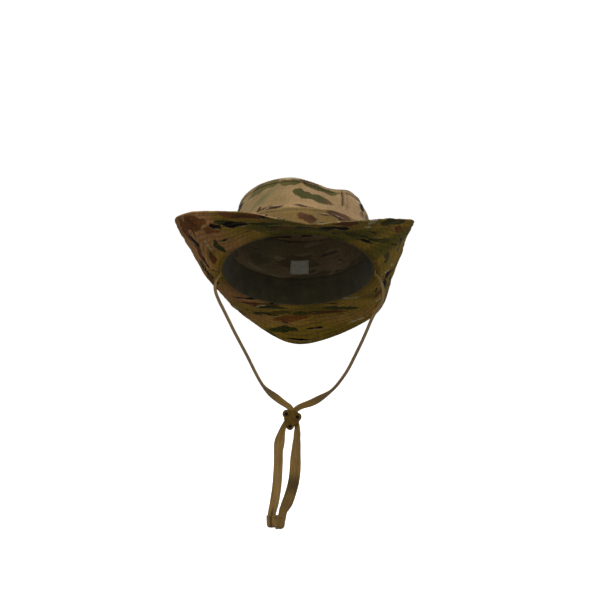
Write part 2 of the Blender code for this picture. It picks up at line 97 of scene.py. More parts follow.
RIGHT_ROUTE = (
    (-86.0, -3.6), (-91.8, -13.5), (-92.0, -23.0), (-88.1, -34.0), (-82.5, -45.2),
    (-71.4, -67.5), (-59.6, -90.0), (-40.1, -127.1), (-22.0, -144.0), (-10.0, -152.5),
    (-7.2, -158.0), (-6.6, -163.5),
)
LEFT_ROUTE = (
    (86.0, -3.6), (93.5, -15.0), (94.5, -33.5), (83.6, -52.0), (71.9, -78.6), (61.0, -101.0),
    (52.4, -116.0), (38.0, -134.0), (18.0, -146.5), (2.5, -152.5), (-4.4, -158.0),
    (-6.4, -163.5),
)
RIGHT_TAIL = (
    (-9.3, -166.0), (-12.6, -169.0), (-14.8, -172.5), (-17.2, -178.0), (-20.3, -190.0),
    (-21.7, -201.0), (-22.0, -213.0), (-22.6, -226.0), (-24.4, -246.0), (-26.6, -260.0),
    (-29.1, -271.4), (-30.0, -283.5),
)
LEFT_TAIL = (
    (-5.2, -166.0), (-2.9, -168.8), (-1.2, -172.5), (-0.8, -178.0), (-1.5, -190.0),
    (-2.6, -208.0), (-3.3, -223.5), (-4.7, -235.0), (-7.4, -246.0), (-11.2, -257.5),
    (-14.4, -264.3), (-16.6, -269.0), (-19.4, -283.5),
)
TAB_CENTRE = (-24.8, -281.0)
TAB_HALF = (10.25, 2.0, 7.75)
SLIDER_CENTRE = (-6.7, -165.0)
SLIDER_RIVETS = ((-12.8, -160.4), (-0.6, -163.7), (-8.9, -173.9))
SLIDER_LOBE, SLIDER_WAIST = 4.6, 9.0
PLATE_NEAR, PLATE_FAR = 2.0, 3.7

# How fine the cloth is.
AROUND = 720
WALL_SCALE, BAND_SCALE = 1.5, 1.6  # millimetres of the print for each degree round the hat
BRIM_COLUMNS = 58
BRIM_EXTRA_COLUMNS = (0.987, 0.9955)  # shares of the brim's width, where its edge turns over
WALL_ROWS = 56


# --- camera -------------------------------------------------------------------------------------


def make_camera():
    data = bpy.data.cameras.new("camera")
    data.sensor_width = 36.0
    data.lens = 118.386
    camera = bpy.data.objects.new("camera", data)
    camera.location = (0.00223, -2.2, -0.03345)
    camera.rotation_euler = (math.radians(90.0), 0.0, 0.0)
    scene.collection.objects.link(camera)
    scene.camera = camera


# --- mesh helpers -------------------------------------------------------------------------------


def unit(v):
    return v / np.maximum(np.linalg.norm(v, axis=-1, keepdims=True), 1e-12)


def ramp(x, first, last):
    """0 before first, 1 after last and smooth between."""
    u = np.clip((x - first) / (last - first), 0.0, 1.0)
    return u * u * (3 - 2 * u)


def bell(x, at, spread):
    """1 where x is at, falling off smoothly to both sides."""
    return np.exp(-(((x - at) / spread) ** 2))


def signed(degrees):
    """Degrees round from the front, -180 to 180."""
    return (degrees + 180.0) % 360.0 - 180.0


def make_mesh(name, points, faces, material, uv=None, fields=None):
    """A mesh object from points in millimetres. faces is an array of quads or a list of faces."""
    mesh = bpy.data.meshes.new(name)
    points = np.asarray(points, float).reshape(-1, 3) * MM
    if isinstance(faces, np.ndarray):
        faces = faces.tolist()
    mesh.from_pydata(points.tolist(), [], faces)
    mesh.update()
    if uv is not None:
        layer = mesh.uv_layers.new(name="cloth")
        corner = np.zeros(len(mesh.loops), np.int32)
        mesh.loops.foreach_get("vertex_index", corner)
        uv = np.asarray(uv, float).reshape(-1, 2)
        layer.data.foreach_set("uv", (uv[corner] * MM).astype(np.float32).ravel())
    for key, values in (fields or {}).items():
        attribute = mesh.attributes.new(key, "FLOAT", "POINT")
        attribute.data.foreach_set("value", np.asarray(values, np.float32).ravel())
    bm = bmesh.new()
    bm.from_mesh(mesh)
    bmesh.ops.recalc_face_normals(bm, faces=bm.faces)
    if bm.calc_volume(signed=True) < 0:
        bmesh.ops.reverse_faces(bm, faces=bm.faces)
    bm.to_mesh(mesh)
    bm.free()
    mesh.shade_smooth()
    obj = bpy.data.objects.new(name, mesh)
    mesh.materials.append(material)
    scene.collection.objects.link(obj)
    return obj


def grid_faces(rows, columns, start=0, wrap=False):
    """Quads of a grid of points numbered row by row; wrap joins the last row to the first."""
    steps = rows if wrap else rows - 1
    i, j = np.meshgrid(np.arange(steps), np.arange(columns - 1), indexing="ij")
    n = (i + 1) % rows
    here, there = i * columns + j, n * columns + j
    return np.stack((here, there, there + 1, here + 1), -1).reshape(-1, 4) + start


def shell(name, outer, inner, material, wrap=False, uv=None, fields=None):
    """The closed solid between two equal grids of points: rows round the hat, columns across."""
    rows, columns = outer.shape[:2]
    count = rows * columns
    faces = [grid_faces(rows, columns, 0, wrap), grid_faces(rows, columns, count, wrap)[:, ::-1]]
    steps = rows if wrap else rows - 1
    i = np.arange(steps)
    n = (i + 1) % rows
    for j in (0, columns - 1):
        a, b = i * columns + j, n * columns + j
        side = np.stack((b, a, a + count, b + count), -1)
        faces.append(side if j == 0 else side[:, ::-1])
    if not wrap:
        j = np.arange(columns - 1)
        for k in (0, rows - 1):
            a, b = k * columns + j, k * columns + j + 1
            side = np.stack((a, b, b + count, a + count), -1)
            faces.append(side if k == 0 else side[:, ::-1])
    points = np.concatenate([outer.reshape(-1, 3), inner.reshape(-1, 3)])
    if uv is not None:
        uv = np.concatenate([uv.reshape(-1, 2)] * 2)
    both = {k: np.concatenate([v.ravel()] * 2) for k, v in (fields or {}).items()}
    return make_mesh(name, points, np.concatenate(faces), material, uv, both)


def join(name, parts, material):
    """One object from several (points, faces) pieces."""
    points, faces, start = [], [], 0
    for p, f in parts:
        points.append(np.asarray(p, float).reshape(-1, 3))
        listed = f.tolist() if isinstance(f, np.ndarray) else f
        faces += [[i + start for i in face] for face in listed]
        start += len(points[-1])
    return make_mesh(name, np.concatenate(points), faces, material)


def tube_faces(rows, columns):
    """Quads between closed rings of points numbered ring by ring, and a face over each end."""
    i, j = np.meshgrid(np.arange(rows - 1), np.arange(columns), indexing="ij")
    m = (j + 1) % columns
    below, above = i * columns, (i + 1) * columns
    faces = np.stack((below + j, below + m, above + m, above + j), -1).reshape(-1, 4).tolist()
    faces.append(list(range(columns))[::-1])
    faces.append(list(range((rows - 1) * columns, rows * columns)))
    return faces


def wire(line, axis, half, high, sides=5):
    """A thin rod along a line: half its width, high along the axis, tapered at both ends."""
    tangent = unit(np.gradient(line, axis=0))
    normals = np.tile(axis, (len(line), 1))
    side = unit(np.cross(tangent, normals))
    angle = 2 * np.pi * np.arange(sides) / sides
    scale = np.ones((len(line), 1, 1))
    scale[0] = scale[-1] = 0.45
    ring = (
        side[:, None] * (np.cos(angle)[None, :, None] * half * scale)
        + normals[:, None] * (np.sin(angle)[None, :, None] * high * scale)
        + line[:, None]
    )
    return ring.reshape(-1, 3), tube_faces(len(line), sides)


def place(piece, body, slot, *nodes):
    """Says which body a piece moves with and hides the CAD nodes it stands for. slot is not used.
    """
    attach(piece, body)
    if nodes:
        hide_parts(*nodes)
    return piece


STITCH_SIDES = 5
STITCH_ALONG = np.array((-0.5, -0.36, 0.0, 0.36, 0.5))
STITCH_FAT = np.array((0.35, 0.9, 1.0, 0.9, 0.35))
STITCH_RISE = np.array((-0.75, 0.15, 0.45, 0.15, -0.75))


def stitch_row(line, normals, pitch=2.9, gap=0.75, thick=0.42, closed=False):
    """Stitches along a sewn line. Returns (points, faces) with one small bar for each stitch."""
    line, normals = np.asarray(line, float), np.asarray(normals, float)
    if closed:
        line = np.vstack([line, line[:1]])
        normals = np.vstack([normals, normals[:1]])
    run = np.concatenate([[0], np.cumsum(np.linalg.norm(np.diff(line, axis=0), axis=1))])
    count = max(int(round(run[-1] / pitch)), 1)
    step = run[-1] / count
    length = step - gap
    middle = (np.arange(count) + 0.5) * step
    at = middle[:, None] + STITCH_ALONG[None] * length
    place = np.stack([np.interp(at, run, line[:, k]) for k in range(3)], -1)
    normal = unit(np.stack([np.interp(at, run, normals[:, k]) for k in range(3)], -1))
    tangent = unit(place[:, -1:] - place[:, :1])
    side = unit(np.cross(np.broadcast_to(tangent, normal.shape), normal))
    angle = 2 * np.pi * np.arange(STITCH_SIDES) / STITCH_SIDES
    fat = (STITCH_FAT * thick / 2)[None, :, None, None]
    rise = (STITCH_RISE * thick / 2)[None, :, None, None]
    ring = (
        place[:, :, None]
        + side[:, :, None] * np.cos(angle)[None, None, :, None] * fat
        + normal[:, :, None] * (np.sin(angle)[None, None, :, None] * fat * 0.8 + rise)
    )
    one = tube_faces(len(STITCH_ALONG), STITCH_SIDES)
    per = len(STITCH_ALONG) * STITCH_SIDES
    faces = [[k * per + corner for corner in face] for k in range(count) for face in one]
    return ring.reshape(-1, 3), faces


def turned(centre, axis, profile, sides=48):
    """A closed outline of (radius, along) turned round an axis, as (points, faces)."""
    axis = unit(np.asarray(axis, float))
    helper = np.array((0.0, 0.0, 1.0)) if abs(axis[2]) < 0.9 else np.array((1.0, 0.0, 0.0))
    side = unit(np.cross(axis, helper))
    other = np.cross(axis, side)
    angle = 2 * np.pi * np.arange(sides) / sides
    out = side[None] * np.cos(angle)[:, None] + other[None] * np.sin(angle)[:, None]
    profile = np.asarray(profile, float)
    points = centre + out[:, None] * profile[None, :, :1] + axis * profile[None, :, 1:]
    count = len(profile)
    k, j = np.meshgrid(np.arange(sides), np.arange(count), indexing="ij")
    n, m = (k + 1) % sides, (j + 1) % count
    faces = np.stack((k * count + j, k * count + m, n * count + m, n * count + j), -1)
    return points.reshape(-1, 3), faces.reshape(-1, 4)


# --- smooth noise ------------------------------------------------------------------------------


class Waves:
    """Smooth noise: a sum of sines over a plane given in millimetres, the same on every run."""

    def __init__(self, shortest, longest, count=26, stretch=1.0):
        length = np.exp(RNG.uniform(math.log(shortest), math.log(longest), count))
        way = RNG.uniform(0, math.pi, count)
        self.k = 2 * np.pi / length
        self.x, self.y = np.cos(way) / stretch, np.sin(way)
        self.phase = RNG.uniform(0, 2 * math.pi, count)
        self.weight = length / longest
        self.weight = self.weight / np.sqrt((self.weight**2).sum() / 2)

    def __call__(self, x, y):
        total = np.zeros(np.shape(x))
        for k, a, b, phase, weight in zip(self.k, self.x, self.y, self.phase, self.weight):
            total += weight * np.sin(k * (a * x + b * y) + phase)
        return total


# --- camouflage fields -------------------------------------------------------------------------


def blotch_field(u, v, blotches):
    """How far inside the nearest blotch each point is, in millimetres. A blotch is (u, v, half
    length, half width, tilt in degrees, bend): a lens-shaped patch that bends along its length."""
    best = np.full(np.shape(u), -30.0)
    for bu, bv, long, wide, tilt, bend in blotches:
        a = math.radians(tilt)
        x = (u - bu) * math.cos(a) + (v - bv) * math.sin(a)
        y = -(u - bu) * math.sin(a) + (v - bv) * math.cos(a)
        y = y - bend * wide * np.sin(x / long * 2.2 + bu)
        half = wide * (1 + 0.22 * np.sin(x / long * 5.1 + bv) + 0.07 * np.sin(x / long * 9.7 + bu))
        r = np.sqrt((x / long) ** 2 + (y / np.maximum(half, 0.2)) ** 2)
        best = np.maximum(best, (1 - r) * wide)
    return best


def scatter(width, height, spacing, long, wide, tilt=10.0, keep=1.0, bend=0.5):
    """Blotches over a plane about (0, 0), one in each cell of a loose brick pattern."""
    made = []
    rows = math.ceil(2 * height / spacing[1])
    columns = math.ceil(2 * width / spacing[0])
    for r in range(rows):
        for c in range(columns):
            draw = RNG.random(7)
            if draw[0] > keep:
                continue
            u = -width + (c + 0.5 * (r % 2) + 0.2 + 0.6 * draw[1]) * spacing[0]
            v = -height + (r + 0.15 + 0.7 * draw[2]) * spacing[1]
            length = long[0] + (long[1] - long[0]) * draw[3]
            width_here = wide[0] + (wide[1] - wide[0]) * draw[4]
            turn, curl = (draw[5:7] - 0.5) * 2 * (tilt, bend)
            made.append((u, v, length, width_here, turn, curl))
    return made


class Camouflage:
    """One cut of printed cloth. Each kind of patch is a field in millimetres that the material
    reads: above 0 is inside the patch."""

    def __init__(self, w, h):
        """w and h: how far the print reaches to each side of its middle, in millimetres."""
        self.kinds = {
            "green": scatter(w, h, (62, 22), (16, 30), (3.5, 6.5), 12, 0.62),
            "brown": scatter(w, h, (70, 26), (14, 30), (3.0, 6.0), 12, 0.5),
            "cream": scatter(w, h, (48, 19), (6, 15), (1.2, 2.6), 14, 0.5),
            "dark": scatter(w, h, (44, 17), (7, 16), (1.1, 2.5), 12, 0.55),
            "twig": scatter(w, h, (36, 15), (5, 13), (0.5, 1.0), 22, 0.5, 1.6),
        }
        self.ground = Waves(22.0, 90.0, 14, 2.4)
        self.tone = Waves(14.0, 60.0, 14, 2.2)

    def clear(self, box):
        """Takes the scattered patches out of a rectangle (u low, u high, v low, v high)."""
        for kind, blotches in self.kinds.items():
            self.kinds[kind] = [
                b for b in blotches if not (box[0] < b[0] < box[1] and box[2] < b[1] < box[3])
            ]

    def add(self, kind, *blotches):
        self.kinds[kind] += list(blotches)

    def fields(self, uv):
        u, v = uv[..., 0], uv[..., 1]
        made = {kind: blotch_field(u, v, blotches) for kind, blotches in self.kinds.items()}
        lit = [(b[0] + 0.4, b[1] + 0.95, b[2], b[3] * 0.95, b[4], b[5]) for b in self.kinds["dark"]]
        lit += [(b[0] + 0.3, b[1] + 0.8, b[2], b[3], b[4], b[5]) for b in self.kinds["twig"]]
        made["lit"] = blotch_field(u, v, lit)
        made["ground"] = 0.5 + 0.5 * np.tanh(self.ground(u, v))
        made["tone"] = 0.5 + 0.5 * np.tanh(self.tone(u, v))
        return made


# --- materials ---------------------------------------------------------------------------------


class Tree:
    """A short way to write a material's nodes."""

    def __init__(self, name, **settings):
        self.material = bpy.data.materials.new(name)
        self.material.use_nodes = True
        self.tree = self.material.node_tree
        self.bsdf = self.tree.nodes["Principled BSDF"]
        for key, value in settings.items():
            self.bsdf.inputs[key.replace("_", " ")].default_value = value

    def set(self, node, index, value):
        socket = node.inputs[index]
        if isinstance(value, bpy.types.NodeSocket):
            self.tree.links.new(value, socket)
        elif hasattr(socket.default_value, "__len__") and not hasattr(value, "__len__"):
            socket.default_value = [value] * len(socket.default_value)
        else:
            socket.default_value = value

    def node(self, kind, *values, **settings):
        node = self.tree.nodes.new(kind)
        for key, value in settings.items():
            setattr(node, key, value)
        for index, value in enumerate(values):
            if value is not None:
                self.set(node, index, value)
        return node

    def math(self, operation, a, b=None, c=None):
        return self.node("ShaderNodeMath", a, b, c, operation=operation).outputs[0]

    def attribute(self, name):
        return self.node("ShaderNodeAttribute", attribute_name=name).outputs["Fac"]

    def object_point(self):
        return self.node("ShaderNodeTexCoord").outputs["Object"]

    def uv(self):
        return self.node("ShaderNodeUVMap", uv_map="cloth").outputs[0]

    def scaled(self, vector, by):
        node = self.node("ShaderNodeVectorMath", vector, operation="MULTIPLY")
        node.inputs[1].default_value = by
        return node.outputs[0]

    def noise(self, vector, scale, detail=2.0, rough=0.5):
        node = self.node("ShaderNodeTexNoise")
        self.set(node, "Vector", vector)
        node.inputs["Scale"].default_value = scale
        node.inputs["Detail"].default_value = detail
        node.inputs["Roughness"].default_value = rough
        return node.outputs["Fac"]

    def between(self, value, low, high, to_low=0.0, to_high=1.0):
        node = self.node("ShaderNodeMapRange", interpolation_type="SMOOTHSTEP")
        self.set(node, "Value", value)
        node.inputs["From Min"].default_value = low
        node.inputs["From Max"].default_value = high
        node.inputs["To Min"].default_value = to_low
        node.inputs["To Max"].default_value = to_high
        return node.outputs["Result"]

    def mix(self, factor, a, b, blend="MIX"):
        node = self.node("ShaderNodeMix", data_type="RGBA", blend_type=blend)
        self.set(node, 0, factor)
        self.set(node, 6, a if not isinstance(a, tuple) else (*a, 1.0))
        self.set(node, 7, b if not isinstance(b, tuple) else (*b, 1.0))
        return node.outputs[2]

    def mottled(self, patch, colour, dark, light):
        """A colour that wanders between a darker and a lighter tone of itself."""
        tones = (tuple(c * by for c in colour) for by in (dark, light))
        return self.mix(self.between(patch, 0.3, 0.7), *tones)

    def shaded(self, colour, value):
        """The surface's colour, darkened or lightened by a value."""
        grey = self.node("ShaderNodeCombineColor", value, value, value).outputs[0]
        self.link(self.mix(1.0, colour, grey, "MULTIPLY"), "Base Color")

    def split(self, vector):
        return self.node("ShaderNodeSeparateXYZ", vector).outputs

    def bump(self, height, distance, strength=1.0, normal=None):
        node = self.node("ShaderNodeBump")
        node.inputs["Strength"].default_value = strength
        node.inputs["Distance"].default_value = distance
        self.set(node, "Height", height)
        if normal is not None:
            self.set(node, "Normal", normal)
        return node.outputs[0]

    def link(self, value, socket):
        self.tree.links.new(value, self.bsdf.inputs[socket])


# The colours of the print as they look in full light, and a copy for the brim's underside with the
# warm bounce light of its shaded side painted in.
CROWN_COLOURS = {
    "warm": (0.335, 0.212, 0.100),
    "tan": (0.240, 0.158, 0.062),
    "sage": (0.150, 0.125, 0.046),
    "green": (0.058, 0.053, 0.010),
    "olive": (0.092, 0.074, 0.018),
    "brown": (0.100, 0.044, 0.014),
    "earth": (0.145, 0.076, 0.026),
    "cream": (0.400, 0.345, 0.200),
    "dark": (0.030, 0.013, 0.005),
    "lit": (0.290, 0.200, 0.095),
}
BAND_COLOURS = {
    **CROWN_COLOURS,
    "warm": (0.205, 0.120, 0.036),
    "tan": (0.180, 0.112, 0.030),
    "brown": (0.046, 0.017, 0.004),
    "earth": (0.085, 0.032, 0.008),
}
UNDERSIDE_WARM_LIGHT_COLOURS = {
    "warm": (0.500, 0.245, 0.080),
    "tan": (0.350, 0.215, 0.024),
    "sage": (0.135, 0.115, 0.008),
    "green": (0.050, 0.054, 0.008),
    "olive": (0.100, 0.076, 0.008),
    "brown": (0.150, 0.044, 0.008),
    "earth": (0.235, 0.085, 0.016),
    "cream": (0.560, 0.480, 0.260),
    "dark": (0.008, 0.003, 0.002),
    "lit": (0.420, 0.280, 0.120),
}


def weave_height(t, uv, pitch=0.46):
    """Plain weave: over and under, from two crossed sines. uv is in metres."""
    x, y, _ = t.split(uv)
    k = 2 * math.pi / (pitch * MM) / 2
    a = t.math("SINE", t.math("MULTIPLY", x, k))
    b = t.math("SINE", t.math("MULTIPLY", y, k))
    return t.math("MULTIPLY", a, b)


def ripstop_lines(t, uv, pitch=5.2, wide=0.5):
    """1 on the thicker threads that cross the cloth both ways, else 0."""
    x, y, _ = t.split(uv)
    lines = []
    for axis in (x, y):
        share = t.math("FRACT", t.math("DIVIDE", axis, pitch * MM))
        middle = t.math("ABSOLUTE", t.math("SUBTRACT", share, 0.5))
        lines.append(t.between(middle, 0.5 * wide / pitch, 0.5 * wide / pitch * 2.2, 1.0, 0.0))
    return t.math("MAXIMUM", *lines)


def camo_material(name, colours, grid=0.1, reverse=False, shine=0.22, contrast=1.0):
    """Printed ripstop cloth. The mesh carries the print's patches, its ground and painted shade
    where the cloth is pressed into a seam or a fold, or lies near the head opening."""
    t = Tree(name, Roughness=0.88, Sheen_Weight=0.2 * shine, Specular_IOR_Level=shine)
    uv = t.uv()
    point = t.object_point()
    rough_edge = t.math("MULTIPLY", t.math("SUBTRACT", t.noise(uv, 170.0, 2.0), 0.5), 1.9)
    fine_edge = t.math("MULTIPLY", t.math("SUBTRACT", t.noise(uv, 900.0, 2.0), 0.5), 0.7)
    wander = t.math("ADD", rough_edge, fine_edge)

    def inside(kind, soft=0.35, shift=0.0):
        field = t.math("ADD", t.attribute(kind), wander)
        return t.between(field, shift - soft, shift + soft)

    ground = t.math("ADD", t.attribute("ground"), t.math("MULTIPLY", wander, 0.045))
    tone = t.math("ADD", t.attribute("tone"), t.math("MULTIPLY", wander, 0.04))
    colour = t.mix(t.between(ground, 0.12, 0.50), colours["warm"], colours["tan"])
    colour = t.mix(t.between(ground, 0.55, 0.90), colour, colours["sage"])
    green = t.mix(t.between(tone, 0.35, 0.75), colours["green"], colours["olive"])
    colour = t.mix(inside("green", 0.5), colour, green)
    brown = t.mix(t.between(tone, 0.3, 0.7), colours["brown"], colours["earth"])
    colour = t.mix(inside("brown", 0.8), colour, brown)
    colour = t.mix(inside("cream", 0.3), colour, colours["cream"])
    colour = t.mix(inside("lit", 0.22), colour, colours["lit"])
    colour = t.mix(inside("dark", 0.3), colour, colours["dark"])
    colour = t.mix(inside("twig", 0.25), colour, tuple(c * 1.6 for c in colours["dark"]))
    lines = ripstop_lines(t, uv)
    weave = weave_height(t, uv)
    if reverse:  # the print shows through to the back as a paler, greyer pattern
        colour = t.mix(0.55, colour, (0.190, 0.150, 0.088))
    c = contrast
    worn = t.between(t.noise(point, 26.0, 4.0, 0.6), 0.3, 0.75, 1 - 0.14 * c, 1 + 0.12 * c)
    speckle = t.between(t.noise(uv, 2600.0, 1.0), 0.25, 0.75, 1 - 0.12 * c, 1 + 0.10 * c)
    threads = t.noise(t.scaled(uv, (0.35, 1.0, 1.0)), 700.0, 2.0)
    streak = t.between(threads, 0.3, 0.7, 1 - 0.10 * c, 1 + 0.08 * c)
    value = t.math("MULTIPLY", t.math("MULTIPLY", worn, speckle), streak)
    value = t.math("MULTIPLY", value, t.math("ADD", 1.0, t.math("MULTIPLY", lines, -grid)))
    value = t.math("MULTIPLY", value, t.math("ADD", 0.97, t.math("MULTIPLY", weave, 0.05)))
    # Painted shade: the cloth is darkened where the mesh's shade field says, along seams, folds and
    # the head opening.
    value = t.math("MULTIPLY", value, t.math("SUBTRACT", 1.0, t.attribute("pressed")))
    t.shaded(colour, value)
    t.link(t.between(t.noise(uv, 300.0, 2.0), 0.3, 0.7, 0.82, 0.95), "Roughness")
    normal = t.bump(lines, 0.00012, 0.7)
    normal = t.bump(t.noise(uv, 420.0, 3.0, 0.6), 0.00022, 0.5, normal)
    normal = t.bump(weave, 0.00007, 0.6, normal)
    t.link(normal, "Normal")
    return t.material


def twill_material(name, colour, pitch=0.7):
    t = Tree(name, Roughness=0.9, Sheen_Weight=0.15, Specular_IOR_Level=0.2)
    uv = t.uv()
    x, y, _ = t.split(uv)
    across = t.math("ADD", x, t.math("MULTIPLY", y, 1.3))
    rib = t.math("SINE", t.math("MULTIPLY", across, 2 * math.pi / (pitch * MM)))
    patch = t.noise(t.object_point(), 60.0, 4.0, 0.6)
    tone = t.mottled(patch, colour, 0.72, 1.2)
    fine = t.between(rib, -1.0, 1.0, 0.82, 1.08)
    t.shaded(tone, fine)
    t.link(t.between(patch, 0.2, 0.8, 0.8, 0.96), "Roughness")
    normal = t.bump(rib, 0.0001, 0.6)
    normal = t.bump(t.noise(uv, 500.0, 3.0), 0.0002, 0.4, normal)
    t.link(normal, "Normal")
    return t.material


def tape_material(name, colour):
    """Woven tape: fine threads along it, short picks across each rib, with painted shade in the
    grooves.
    """
    t = Tree(name, Roughness=0.85, Sheen_Weight=0.2, Specular_IOR_Level=0.25)
    uv = t.uv()
    x, y, _ = t.split(uv)
    picks = t.math("SINE", t.math("MULTIPLY", y, 2 * math.pi / (0.55 * MM)))
    threads = t.math("SINE", t.math("MULTIPLY", x, 2 * math.pi / (0.45 * MM)))
    groove = t.attribute("groove")
    patch = t.noise(t.scaled(uv, (500.0, 26.0, 1.0)), 1.0, 3.0, 0.6)
    long = t.noise(t.scaled(uv, (90.0, 22.0, 1.0)), 1.0, 2.0, 0.5)
    tone = t.mottled(long, colour, 0.68, 1.18)
    lit = t.between(patch, 0.25, 0.75, 0.78, 1.16)
    # Painted shade: darker in the rib grooves, lengthwise folds and the stretches in their own
    # shade.
    value = t.math("MULTIPLY", lit, t.between(groove, 0.0, 2.0, 1.05, 0.12))
    value = t.math("MULTIPLY", value, t.between(picks, -1.0, 1.0, 0.9, 1.06))
    t.shaded(tone, value)
    t.link(t.between(patch, 0.2, 0.8, 0.78, 0.92), "Roughness")
    normal = t.bump(t.math("MULTIPLY", picks, threads), 0.00008, 0.6)
    t.link(normal, "Normal")
    return t.material


def thread_material(name, colour):
    t = Tree(name, Roughness=0.7, Sheen_Weight=0.2)
    point = t.object_point()
    patch = t.noise(point, 900.0, 2.0)
    t.link(t.mottled(patch, colour, 0.7, 1.2), "Base Color")
    t.link(t.between(patch, 0.2, 0.8, 0.6, 0.8), "Roughness")
    t.link(t.bump(t.noise(point, 4000.0, 2.0), 0.00008, 0.5), "Normal")
    return t.material


def leather_material(name, colour):
    t = Tree(name, Roughness=0.5, Specular_IOR_Level=0.14)
    point = t.object_point()
    grain = t.node("ShaderNodeTexVoronoi", feature="DISTANCE_TO_EDGE")
    t.set(grain, "Vector", point)
    grain.inputs["Scale"].default_value = 1500.0
    crack = t.between(grain.outputs["Distance"], 0.0, 0.12)
    patch = t.noise(point, 260.0, 4.0, 0.6)
    tone = t.mottled(patch, colour, 0.62, 1.2)
    value = t.between(crack, 0.0, 1.0, 0.78, 1.03)
    t.shaded(tone, value)
    t.link(t.between(patch, 0.2, 0.8, 0.42, 0.66), "Roughness")
    normal = t.bump(crack, 0.00006, 0.6)
    t.link(t.bump(patch, 0.00015, 0.4, normal), "Normal")
    return t.material


def metal_material(name, colour, worn_colour, rough=0.45):
    t = Tree(name, Metallic=0.75, Specular_IOR_Level=0.5)
    point = t.object_point()
    patch = t.noise(point, 500.0, 5.0, 0.65)
    t.link(t.mix(t.between(patch, 0.55, 0.75), colour, worn_colour), "Base Color")
    t.link(t.between(patch, 0.3, 0.75, rough + 0.12, rough - 0.1), "Roughness")
    t.link(t.bump(patch, 0.00006, 0.4), "Normal")
    return t.material


def label_material(name):
    t = Tree(name, Roughness=0.5, Sheen_Weight=0.2)
    uv = t.uv()
    weave = weave_height(t, uv, 0.34)
    patch = t.noise(uv, 240.0, 3.0)
    t.link(t.mix(t.between(patch, 0.3, 0.7), (0.42, 0.39, 0.31), (0.52, 0.49, 0.40)), "Base Color")
    t.link(t.between(weave, -1.0, 1.0, 0.42, 0.6), "Roughness")
    t.link(t.bump(weave, 0.00005, 0.6), "Normal")
    return t.material


MATERIALS = {
    made.name: made
    for made in (
        camo_material("camo_crown", CROWN_COLOURS, 0.07),
        camo_material("camo_brim_top", CROWN_COLOURS, 0.12),
        # The underside uses the copy of the print's colours with its warm, shaded light painted in.
        camo_material("camo_brim_under", UNDERSIDE_WARM_LIGHT_COLOURS, 0.25, shine=0.08, contrast=1.9),
        camo_material("camo_band", BAND_COLOURS, 0.1),
        camo_material("camo_lining", CROWN_COLOURS, 0.12, True),
        twill_material("canvas", (0.13, 0.11, 0.07), 1.1),
        twill_material("sweat", (0.085, 0.075, 0.035), 0.8),
        tape_material("tape", (0.330, 0.192, 0.046)),
        thread_material("thread", (0.150, 0.112, 0.052)),
        thread_material("thread_light", (0.250, 0.178, 0.090)),
        thread_material("thread_tape", (0.120, 0.072, 0.022)),
        leather_material("leather", (0.125, 0.066, 0.006)),
        metal_material("rivet", (0.016, 0.011, 0.007), (0.06, 0.038, 0.018), 0.5),
        metal_material("rivet_hollow_shade", (0.004, 0.003, 0.002), (0.012, 0.009, 0.006), 0.7),
        metal_material("vent", (0.030, 0.024, 0.016), (0.11, 0.085, 0.05), 0.5),
        metal_material("mesh_wire", (0.018, 0.017, 0.012), (0.06, 0.055, 0.04), 0.5),
        label_material("label"),
    )
}


# --- the shape of the hat ----------------------------------------------------------------------


def worn(point):
    """Points given square to the crown, as the hat is worn; both in millimetres."""
    point = np.asarray(point, float)
    c, s = math.cos(TILT), math.sin(TILT)
    x, y, z = point[..., 0], point[..., 1], point[..., 2]
    return np.stack((x, y * c + z * s, -y * s + z * c), -1)


def oval(half, degrees):
    a = np.radians(degrees)
    return np.stack((half[0] * np.sin(a), -half[1] * np.cos(a)), -1)


def spline(values, degrees):
    """Cubic through the brim's edge rows, closed round the circle."""
    knots = np.array([row[0] for row in BRIM_EDGE], float)
    values = np.asarray(values, float)
    count = len(knots)
    at = (np.asarray(degrees, float) - knots[0]) % 360.0 + knots[0]
    i = np.searchsorted(knots, at, side="right") - 1
    p0, p1, p2, p3 = (values[(i + k) % count] for k in (-1, 0, 1, 2))
    t0, t1, t2, t3 = (knots[(i + k) % count] + 360.0 * ((i + k) // count) for k in (-1, 0, 1, 2))
    slope1, slope2, span = (p2 - p0) / (t2 - t0), (p3 - p1) / (t3 - t1), t2 - t1
    u = (at - t1) / span
    return (
        (2 * u**3 - 3 * u**2 + 1) * p1
        + (u**3 - 2 * u**2 + u) * span * slope1
        + (3 * u**2 - 2 * u**3) * p2
        + (u**3 - u**2) * span * slope2
    )


def outward(degrees):
    a = np.radians(degrees)
    return unit(np.stack((np.sin(a) / RING_OUTER[0], -np.cos(a) / RING_OUTER[1]), -1))


def flat3(plane, height=0.0):
    return np.concatenate([plane, np.full((*plane.shape[:-1], 1), height)], -1)


def brim_middle(degrees, shares):
    """Points of the brim's middle surface at even shares of its width, and the width itself."""
    inner = worn(flat3(oval(RING_OUTER, degrees)))
    outer = np.stack([spline([row[k] for row in BRIM_EDGE], degrees) for k in (1, 2, 3)], -1)
    flat = spline([row[4] for row in BRIM_EDGE], degrees)
    crease = inner + worn(flat3(outward(degrees))) * flat[:, None]
    flap = crease + (outer - crease) * CREASE_SHARE
    s = np.linspace(0, 1, 160)[None, :, None]
    r = 1 - s
    fine = inner[:, None] * r**3 + crease[:, None] * 3 * s * r**2
    fine = fine + flap[:, None] * 3 * s**2 * r + outer[:, None] * s**3
    steps = np.linalg.norm(np.diff(fine, axis=1), axis=2)
    run = np.concatenate([np.zeros((len(degrees), 1)), np.cumsum(steps, axis=1)], axis=1)
    made = np.empty((len(degrees), len(shares), 3))
    for i in range(len(degrees)):
        for k in range(3):
            made[i, :, k] = np.interp(shares * run[i, -1], run[i], fine[i, :, k])
    return made, run[:, -1]


